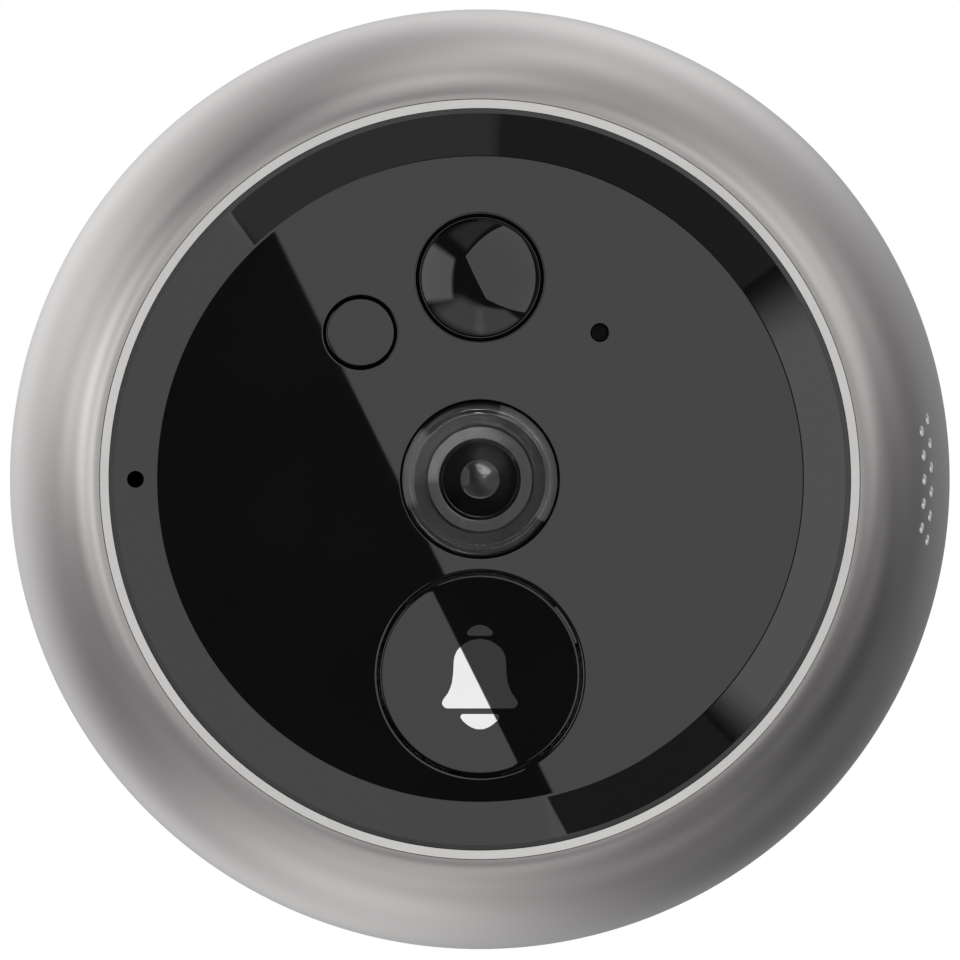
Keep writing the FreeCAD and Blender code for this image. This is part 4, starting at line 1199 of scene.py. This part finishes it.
@dataclass
class RearSide(SubAssembly):
    """The rear: cover with rounded edges, screws, brass inserts, grommet, seal and foam pad."""

    back: float = 1.0
    cover_round: float = 0.12
    cover_angle: float = math.radians(40.0)
    flat_angle: float = math.radians(1.0)
    screw_circle: float = 21.6
    screw_angles: tuple[float, ...] = (45.0, 135.0, 225.0, 315.0)
    head_radius: float = 1.9
    head_height: float = 1.1
    shank_radius: float = 1.1
    shank_end: float = 9.0
    thread_pitch: float = 0.5
    thread_depth: float = 0.14
    cross_width: float = 0.42
    cross_length: float = 2.1
    cross_depth: float = 1.6
    insert_offset: float = 5.4
    insert_radius: float = 1.93
    insert_bore: float = 1.25
    insert_length: float = 3.3
    insert_groove: float = 0.15
    insert_thread: float = 0.12
    grommet_bore: float = 2.1
    grommet_body: float = 2.7
    grommet_rim: float = 3.2
    grommet_neck: float = 4.9
    grommet_end: float = 5.4
    seal_inner: float = 30.6
    seal_outer: float = 31.58
    seal_low: float = 3.53
    seal_high: float = 4.67
    pad_outer: float = 31.2
    pad_inner: float = 25.6
    pad_thickness: float = 1.3
    pad_round: float = 0.25

    def build_cover(self) -> None:
        """Makes the rear cover from its CAD shape, with softened edges."""
        cover = bmesh.new()
        cover.from_mesh(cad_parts["rear_cover"].data)
        bmesh.ops.remove_doubles(cover, verts=cover.verts[:], dist=WELD)
        bmesh.ops.dissolve_limit(cover, angle_limit=self.flat_angle, verts=cover.verts[:], edges=cover.edges[:])
        bmesh.ops.recalc_face_normals(cover, faces=cover.faces[:])
        piece = solid_piece("rear_cover_skin", cover)
        soft = piece.modifiers.new("soft_edges", "BEVEL")
        soft.width = self.cover_round * MM
        soft.segments = 2
        soft.limit_method = "ANGLE"
        soft.angle_limit = self.cover_angle
        soft.use_clamp_overlap = True
        self.dress(piece, REAR_PLASTIC, "rear_cover")

    def thread(self, radius: float, low: float, high: float, depth: float) -> Points:
        """Points of a ridged wall, like a screw's thread in section.

        Args:
            radius: the crests' radius.
            low: height where it starts.
            high: height where it ends.
            depth: how deep the grooves are; negative for grooves outside the radius.

        Returns:
            The points from low to high.
        """
        count = int((high - low) / self.thread_pitch)
        points = []
        for k in range(count):
            foot = low + k * self.thread_pitch
            points += [(radius, foot), (radius, foot + 0.1), (radius - depth, foot + 0.25),
                       (radius - depth, foot + 0.3)]
        points.append((radius, low + count * self.thread_pitch))
        return points

    def build_screws(self) -> None:
        """Makes the four cover screws with their cross recesses."""
        seat = self.back + self.head_height
        head = [(0.0, self.back), (self.head_radius - 0.35, self.back, 0.3),
                (self.head_radius, self.back + 0.45, 0.2), (self.head_radius, seat, 0.05), (self.shank_radius, seat)]
        wall = self.thread(self.shank_radius, seat + 0.3, self.shank_end - 0.8, self.thread_depth)
        tip = [(self.shank_radius - 0.25, self.shank_end - 0.1), (0.0, self.shank_end)]
        outline = softened(head, False) + wall + tip
        screws = []
        drills = []
        for angle in self.screw_angles:
            turn = math.radians(angle)
            place = (self.screw_circle * math.cos(turn), self.screw_circle * math.sin(turn))
            screws.append(lathe(outline, place, 48, False))
            drills.append(self.cross_drill(place, turn))
        piece = solid_piece("cover_screws", joined(screws))
        trimmed(piece, joined(drills), False)
        self.dress(piece, SCREW_STEEL, "rear_screws")

    def cross_drill(self, place: Place, turn: float) -> Mesh:
        """Makes the cross that is cut into a screw's head: one arm, with the other grown out of its sides.

        Args:
            place: the screw's place.
            turn: how far the cross is turned.

        Returns:
            The closed mesh, as one cross.
        """
        arm = box_mesh(self.cross_length, self.cross_depth, self.cross_width)
        rest = (self.cross_length - self.cross_width) / 2 * MM
        sides = [face for face in arm.faces if abs(face.normal.z) > 0.5]
        bmesh.ops.inset_region(arm, faces=sides, thickness=rest, use_even_offset=False)
        for side in (1.0, -1.0):
            middle = [face for face in arm.faces if face.normal.z * side > 0.5
                      and abs(face.calc_center_median().x) < 0.3 * MM]
            out = bmesh.ops.extrude_face_region(arm, geom=middle)
            bmesh.ops.delete(arm, geom=middle, context="FACES")
            ends = [item for item in out["geom"] if isinstance(item, bmesh.types.BMVert)]
            bmesh.ops.translate(arm, vec=(0.0, 0.0, side * rest), verts=ends)
        swing = Matrix.Translation(at(place, 0.0, self.back - 0.1)) @ Matrix.Rotation(turn, 4, "Y")
        bmesh.ops.transform(arm, matrix=swing, verts=arm.verts[:])
        bmesh.ops.recalc_face_normals(arm, faces=arm.faces[:])
        return arm

    def build_inserts(self) -> None:
        """Makes the two brass inserts with threaded bores and a groove round the outside."""
        top = self.back + self.insert_length
        waist = self.insert_radius - self.insert_groove
        bore = self.thread(self.insert_bore, self.back + 0.25, top - 0.2, -self.insert_thread)[::-1]
        outer = [(self.insert_bore + 0.2, self.back), (self.insert_radius, self.back, 0.08),
                 (self.insert_radius, self.back + 0.8), (waist, self.back + 0.95), (waist, self.back + 1.25),
                 (self.insert_radius, self.back + 1.4), (self.insert_radius, top, 0.08), (self.insert_bore, top)]
        meshes = [lathe(softened(outer, False) + bore, (side * self.insert_offset, 0.0), 64, True)
                  for side in (-1.0, 1.0)]
        self.dress(solid_piece("brass_inserts", joined(meshes)), INSERT_BRASS, "door_inserts")

    def build_rings(self) -> None:
        """Makes the cable passage's grommet, the cover's seal and the foam pad on the door."""
        neck, end = self.grommet_neck, self.grommet_end
        grommet = [(self.grommet_bore, 0.0, 0.3), (self.grommet_rim, 0.0, 0.25), (self.grommet_rim, self.back, 0.05),
                   (self.grommet_body, self.back), (self.grommet_body, neck), (self.grommet_rim, neck, 0.05),
                   (self.grommet_rim, end, 0.2), (self.grommet_bore, end, 0.2)]
        self.turned("passage_grommet", grommet, True, 96, BLACK_RUBBER, "cable_grommet")
        seal = [(self.seal_inner, self.seal_low, 0.1), (self.seal_outer, self.seal_low, 0.3),
                (self.seal_outer, self.seal_high, 0.3), (self.seal_inner, self.seal_high, 0.1)]
        self.turned("cover_ring_seal", seal, True, 192, BLACK_RUBBER, "cover_seal")
        foam = [(self.pad_inner, 0.0, self.pad_round), (self.pad_outer, 0.0, self.pad_round),
                (self.pad_outer, self.pad_thickness), (self.pad_inner, self.pad_thickness)]
        pad = solid_piece("door_foam", lathe(softened(foam, True), AXIS, 192, True))
        self.dress(pad, FOAM_BLACK, "foam_pad")

    def build(self) -> None:
        """Builds the rear pieces."""
        self.build_cover()
        self.build_screws()
        self.build_inserts()
        self.build_rings()


@dataclass
class InnerParts(SubAssembly):
    """The parts inside: the microphone's rubber boot, and the finishes of all CAD nodes that stay."""

    def build_boot(self) -> None:
        """Makes the microphone's boot from its CAD shape, with smooth round walls."""
        boot = bmesh.new()
        boot.from_mesh(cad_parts["microphone_boot"].data)
        bmesh.ops.remove_doubles(boot, verts=boot.verts[:], dist=WELD)
        bmesh.ops.recalc_face_normals(boot, faces=boot.faces[:])
        self.dress(solid_piece("sound_boot", boot), BLACK_RUBBER, "microphone_boot")

    def build(self) -> None:
        """Builds the boot and gives every CAD node the procedural finish of its slot."""
        self.build_boot()
        by_slot = {finish.slot.value: finish for finish in SLOT_FINISHES}
        for name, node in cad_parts.items():
            for index, old in enumerate(node.data.materials):
                finish = NODE_FINISHES.get(name, by_slot[old.name.split(".")[0]])
                node.data.materials[index] = self.shop.material(finish)


@dataclass(frozen=True)
class Card:
    """A bright card in the studio, given by its corners in millimetres, with x, z and depth before the face."""

    name: str
    corners: tuple[tuple[float, float, float], ...]
    strength: float
    edge: float
    lights: tuple[str, ...] = ()


@dataclass(frozen=True)
class Lobe:
    """A soft patch of light on the tent round the metal ring; angles in degrees."""

    polar: float
    turn: float
    spread: float
    strength: float

    def towards(self) -> Vector:
        """The direction of its middle; polar 0 is straight before the face, and turn runs from +X to +Z."""
        polar = math.radians(self.polar)
        turn = math.radians(self.turn)
        return Vector((math.sin(polar) * math.cos(turn), -math.cos(polar), math.sin(polar) * math.sin(turn)))


RING = "housing_ring_skin"
TRIM = "trim_ring_skin"
WINDOW = "lens_window"
DOME = ("motion_dome",)
PANEL = ("front_panel_skin",)
RING_LOBES = tuple(Lobe(*row) for row in (
    (52.0, 165.0, 12.0, 1.22), (116.0, 253.0, 18.0, 0.77), (84.0, 168.0, 12.0, 0.76), (22.0, 45.0, 8.0, 0.70),
    (22.0, 180.0, 8.0, 0.66), (148.0, 68.0, 12.0, 0.64), (68.0, 257.0, 18.0, 0.64), (22.0, 165.0, 8.0, 0.63),
    (132.0, 147.0, 28.0, 0.61), (36.0, 20.0, 12.0, 0.57), (60.0, 97.0, 12.0, 0.56), (3.0, 180.0, 5.0, 0.54),
    (116.0, 80.0, 12.0, 0.48), (156.0, 240.0, 12.0, 0.47), (36.0, 260.0, 12.0, 0.47), (156.0, 150.0, 12.0, 0.46),
    (84.0, 60.0, 28.0, 0.41), (92.0, 96.0, 12.0, 0.39), (116.0, 160.0, 12.0, 0.37), (36.0, 100.0, 12.0, 0.36),
    (60.0, 28.0, 12.0, 0.35), (9.0, 45.0, 6.0, 0.34), (84.0, 144.0, 12.0, 0.33), (44.0, 189.0, 12.0, 0.31),
    (22.0, 270.0, 8.0, 0.30), (52.0, 45.0, 12.0, 0.25), (92.0, 24.0, 12.0, 0.23), (140.0, 265.0, 12.0, 0.21),
    (116.0, 53.0, 12.0, 0.20), (76.0, 211.0, 18.0, 0.18), (132.0, 33.0, 12.0, 0.18), (164.0, 90.0, 12.0, 0.18),
    (84.0, 300.0, 12.0, 0.17), (68.0, 347.0, 12.0, 0.15), (140.0, 189.0, 12.0, 0.14), (92.0, 240.0, 12.0, 0.13),
    (148.0, 0.0, 12.0, 0.12), (52.0, 315.0, 12.0, 0.11), (92.0, 276.0, 12.0, 0.10), (116.0, 307.0, 12.0, 0.09),
    (100.0, 192.0, 12.0, 0.09), (108.0, 0.0, 12.0, 0.08), (124.0, 331.0, 12.0, 0.05),
))


@dataclass
class Studio:
    """Camera, floor, bright cards and surrounding light."""

    distance: float = 3.2
    sensor: float = 36.0
    picture_width: float = 69.53
    shift: Place = (0.011, -0.051)
    floor_height: float = -60.0
    floor_glow: float = 0.62
    world_strength: float = 0.07
    tent_radius: float = 900.0
    cards: tuple[Card, ...] = (
        Card("card_right", ((-51.7, 91.6, 135.8), (20.7, -54.4, 127.0), (101.1, -62.8, 18.9), (38.4, 90.6, 6.6)),
             1.4, 0.003),
        Card("card_left", ((-83.0, 89.8, 131.0), (-119.9, 112.9, 4.0), (-126.1, -48.1, -4.0),
                           (-88.1, -68.5, 120.0)), 1.85, 0.16),
        Card("card_low_left", ((-54.7, -11.3, 91.2), (14.3, -48.9, 91.2), (14.0, -94.4, 3.8), (-99.6, -32.0, 3.8)),
             1.0, 0.3, DOME),
        Card("card_low_right", ((-14.3, -44.9, 95.0), (59.3, -51.7, 62.0), (97.9, -78.0, 4.0), (-18.0, -97.9, 4.0)),
             1.0, 0.25, DOME),
        Card("card_rim_right", ((-4.4, -64.6, 105.0), (45.6, -45.8, 105.0), (42.8, -42.9, 45.0), (-4.1, -60.3, 45.0)),
             0.5, 0.06, PANEL),
        Card("card_rim_left", ((-52.6, -37.5, 105.0), (-2.2, -64.6, 105.0), (-2.1, -60.3, 45.0), (-49.3, -35.2, 45.0)),
             0.16, 0.02, PANEL),
        Card("card_rim_high", ((-12.3, 63.4, 105.0), (-44.9, 46.5, 105.0), (-42.1, 43.6, 45.0), (-11.6, 59.5, 45.0)),
             0.13, 0.02, PANEL),
        Card("card_top", ((-50.8, 98.6, 132.0), (40.0, 98.0, 0.0), (20.0, 132.2, -5.0), (-99.4, 129.2, 30.0)),
             0.35, 0.25, DOME),
        Card("card_trim", ((-57.5, 57.5, 250.0), (57.5, 57.5, 250.0), (57.5, -57.5, 250.0), (-57.5, -57.5, 250.0)),
             0.84, 0.02, (TRIM,)),
        Card("card_back", ((-260.0, 260.0, -320.0), (260.0, 260.0, -320.0), (260.0, -260.0, -320.0),
                           (-260.0, -260.0, -320.0)), 1.6, 0.35),
        Card("card_sheen", ((-11.8, 8.9, 60.0), (-0.9, 8.9, 60.0), (3.3, -0.4, 60.0), (-8.9, -0.4, 60.0)), 2.5, 0.07,
             ("lens_tube", "lens_baffle", WINDOW)),
        Card("card_glint", ((-29.5, 96.4, 46.1), (84.9, 52.6, 48.2), (28.7, 0.0, 106.3), (-9.1, 51.5, 97.3)), 15.0,
             0.15, (WINDOW,)),
    )

    def lit_shell(self, name: str, mesh: Mesh) -> tuple[Piece, NodeBench, Node]:
        """Makes a glowing sheet that the camera doesn't see and that lets other light through.

        Args:
            name: its name.
            mesh: its mesh, which is freed.

        Returns:
            The sheet, a bench on its material's tree, and the node that glows.
        """
        sheet = solid_piece(name, mesh)
        material = bpy.data.materials.new(name)
        bench = cleared(material)
        output = bench.add("ShaderNodeOutputMaterial")
        glow = bench.add("ShaderNodeEmission")
        clear = bench.add("ShaderNodeBsdfTransparent")
        both = bench.add("ShaderNodeAddShader")
        bench.wire((glow, 0, both, 0), (clear, 0, both, 1), (both, 0, output, "Surface"))
        sheet.data.materials.append(material)
        sheet.visible_camera = False
        sheet.visible_shadow = False
        sheet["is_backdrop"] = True
        return sheet, bench, glow

    def build_card(self, card: Card) -> None:
        """Makes one bright card, which fades towards its edges.

        Args:
            card: the card.
        """
        mesh = bmesh.new()
        layer = mesh.loops.layers.uv.new("card")
        verts = [mesh.verts.new((x * MM, -(FACE + depth) * MM, z * MM)) for x, z, depth in card.corners]
        face = mesh.faces.new(verts)
        for loop, place in zip(face.loops, ((0.0, 0.0), (1.0, 0.0), (1.0, 1.0), (0.0, 1.0))):
            loop[layer].uv = place
        _, bench, glow = self.lit_shell(card.name, mesh)
        place = bench.add("ShaderNodeUVMap", uv_map="card")
        split = bench.add("ShaderNodeSeparateXYZ")
        both = bench.add("ShaderNodeMath", operation="MULTIPLY")
        power = bench.add("ShaderNodeMath", operation="MULTIPLY")
        power.inputs[1].default_value = card.strength
        bench.wire((place, "UV", split, 0), (both, 0, power, 0), (power, 0, glow, "Strength"))
        for index, axis in enumerate(("X", "Y")):
            away = bench.add("ShaderNodeMath", operation="PINGPONG")
            away.inputs[1].default_value = 0.5
            fade = bench.add("ShaderNodeMapRange", interpolation_type="SMOOTHSTEP", from_max=card.edge)
            bench.wire((split, axis, away, 0), (away, 0, fade, "Value"), (fade, "Result", both, index))

    def build_tent(self) -> None:
        """Makes the soft light tent that lights the metal ring alone, and keeps the cards for the other pieces."""
        tent = bmesh.new()
        bmesh.ops.create_uvsphere(tent, u_segments=180, v_segments=90, radius=self.tent_radius * MM)
        layer = tent.verts.layers.float.new("glow")
        for vert in tent.verts:
            way = vert.co.normalized()
            for lobe in RING_LOBES:
                apart = math.degrees(way.angle(lobe.towards()))
                vert[layer] += lobe.strength * math.exp(-0.5 * (apart / lobe.spread) ** 2)
        shell, bench, glow = self.lit_shell("light_tent", tent)
        level = bench.add("ShaderNodeAttribute", attribute_name="glow")
        bench.wire((level, "Fac", glow, "Strength"))
        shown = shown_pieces()
        self.link_light(shell, [piece for piece in shown if piece.name == RING])
        for card in self.cards:
            self.link_light(bpy.data.objects[card.name],
                            [piece for piece in shown if piece.name in card.lights
                             or not card.lights and piece.name not in (RING, TRIM)])

    def link_light(self, light: Piece, receivers: list[Piece]) -> None:
        """Lets a light fall on the given pieces alone.

        Args:
            light: the glowing object.
            receivers: the pieces that it lights.
        """
        group = bpy.data.collections.new(f"{light.name}_lights")
        for piece in receivers:
            group.objects.link(piece)
        light.light_linking.receiver_collection = group

    def build_world(self) -> None:
        """Makes the surrounding light: white behind the object for the camera, dim grey for everything else."""
        world = bpy.data.worlds.new("surroundings")
        bench = cleared(world)
        output = bench.add("ShaderNodeOutputWorld")
        path = bench.add("ShaderNodeLightPath")
        mix = bench.add("ShaderNodeMixShader")
        bench.wire((path, "Is Camera Ray", mix, "Fac"), (mix, 0, output, "Surface"))
        for index, strength in ((1, self.world_strength), (2, 1.0)):
            light = bench.add("ShaderNodeBackground", strength=strength)
            light.inputs["Color"].default_value = (1.0, 1.0, 1.0, 1.0)
            bench.wire((light, 0, mix, index))
        bpy.context.scene.world = world

    def build_floor(self) -> None:
        """Makes the plain pale floor below the object."""
        floor = bmesh.new()
        bmesh.ops.create_grid(floor, x_segments=1, y_segments=1, size=1.2)
        bmesh.ops.translate(floor, vec=(0.0, -0.6, self.floor_height * MM), verts=floor.verts[:])
        plane = solid_piece("studio_floor", floor)
        material = bpy.data.materials.new("pale_floor")
        material.use_nodes = True
        shader = material.node_tree.nodes["Principled BSDF"]
        shader.inputs["Base Color"].default_value = (0.8, 0.8, 0.8, 1.0)
        shader.inputs["Roughness"].default_value = 0.7
        shader.inputs["Emission Color"].default_value = (1.0, 1.0, 1.0, 1.0)
        shader.inputs["Emission Strength"].default_value = self.floor_glow
        plane.data.materials.append(material)
        plane.visible_glossy = False
        plane.visible_diffuse = False
        plane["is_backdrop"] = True

    def build_camera(self) -> None:
        """Makes the camera square to the object's face."""
        lens = bpy.data.cameras.new("photo_camera")
        lens.sensor_width = self.sensor
        lens.lens = self.sensor * self.distance / (self.picture_width * MM)
        lens.clip_end = 20.0
        camera = bpy.data.objects.new("photo_camera", lens)
        bpy.context.scene.collection.objects.link(camera)
        camera.location = (self.shift[0] * MM, -self.distance, self.shift[1] * MM)
        camera.rotation_euler = (math.pi / 2, 0.0, 0.0)
        bpy.context.scene.camera = camera

    def build(self) -> None:
        """Builds the studio."""
        bpy.context.scene.view_settings.view_transform = "Standard"
        for card in self.cards:
            self.build_card(card)
        self.build_tent()
        self.build_world()
        self.build_floor()
        self.build_camera()


def main() -> None:
    """Builds the sub-assemblies in order and the studio round them."""
    logging.basicConfig(level=logging.INFO, format="%(message)s")
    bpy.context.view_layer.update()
    shop = Workshop()
    groups = (HousingShell(shop), FacePanel(shop), CameraEye(shop), MotionEye(shop), NightLight(shop),
              BellButton(shop), SpeakerGrille(shop), RearSide(shop), InnerParts(shop))
    for group in groups:
        group.build()
        for piece in group.pieces:
            logging.info("%s: %s, %d faces", type(group).__name__, piece.name, len(piece.data.polygons))
    Studio().build()


if __name__ == "__main__":
    main()
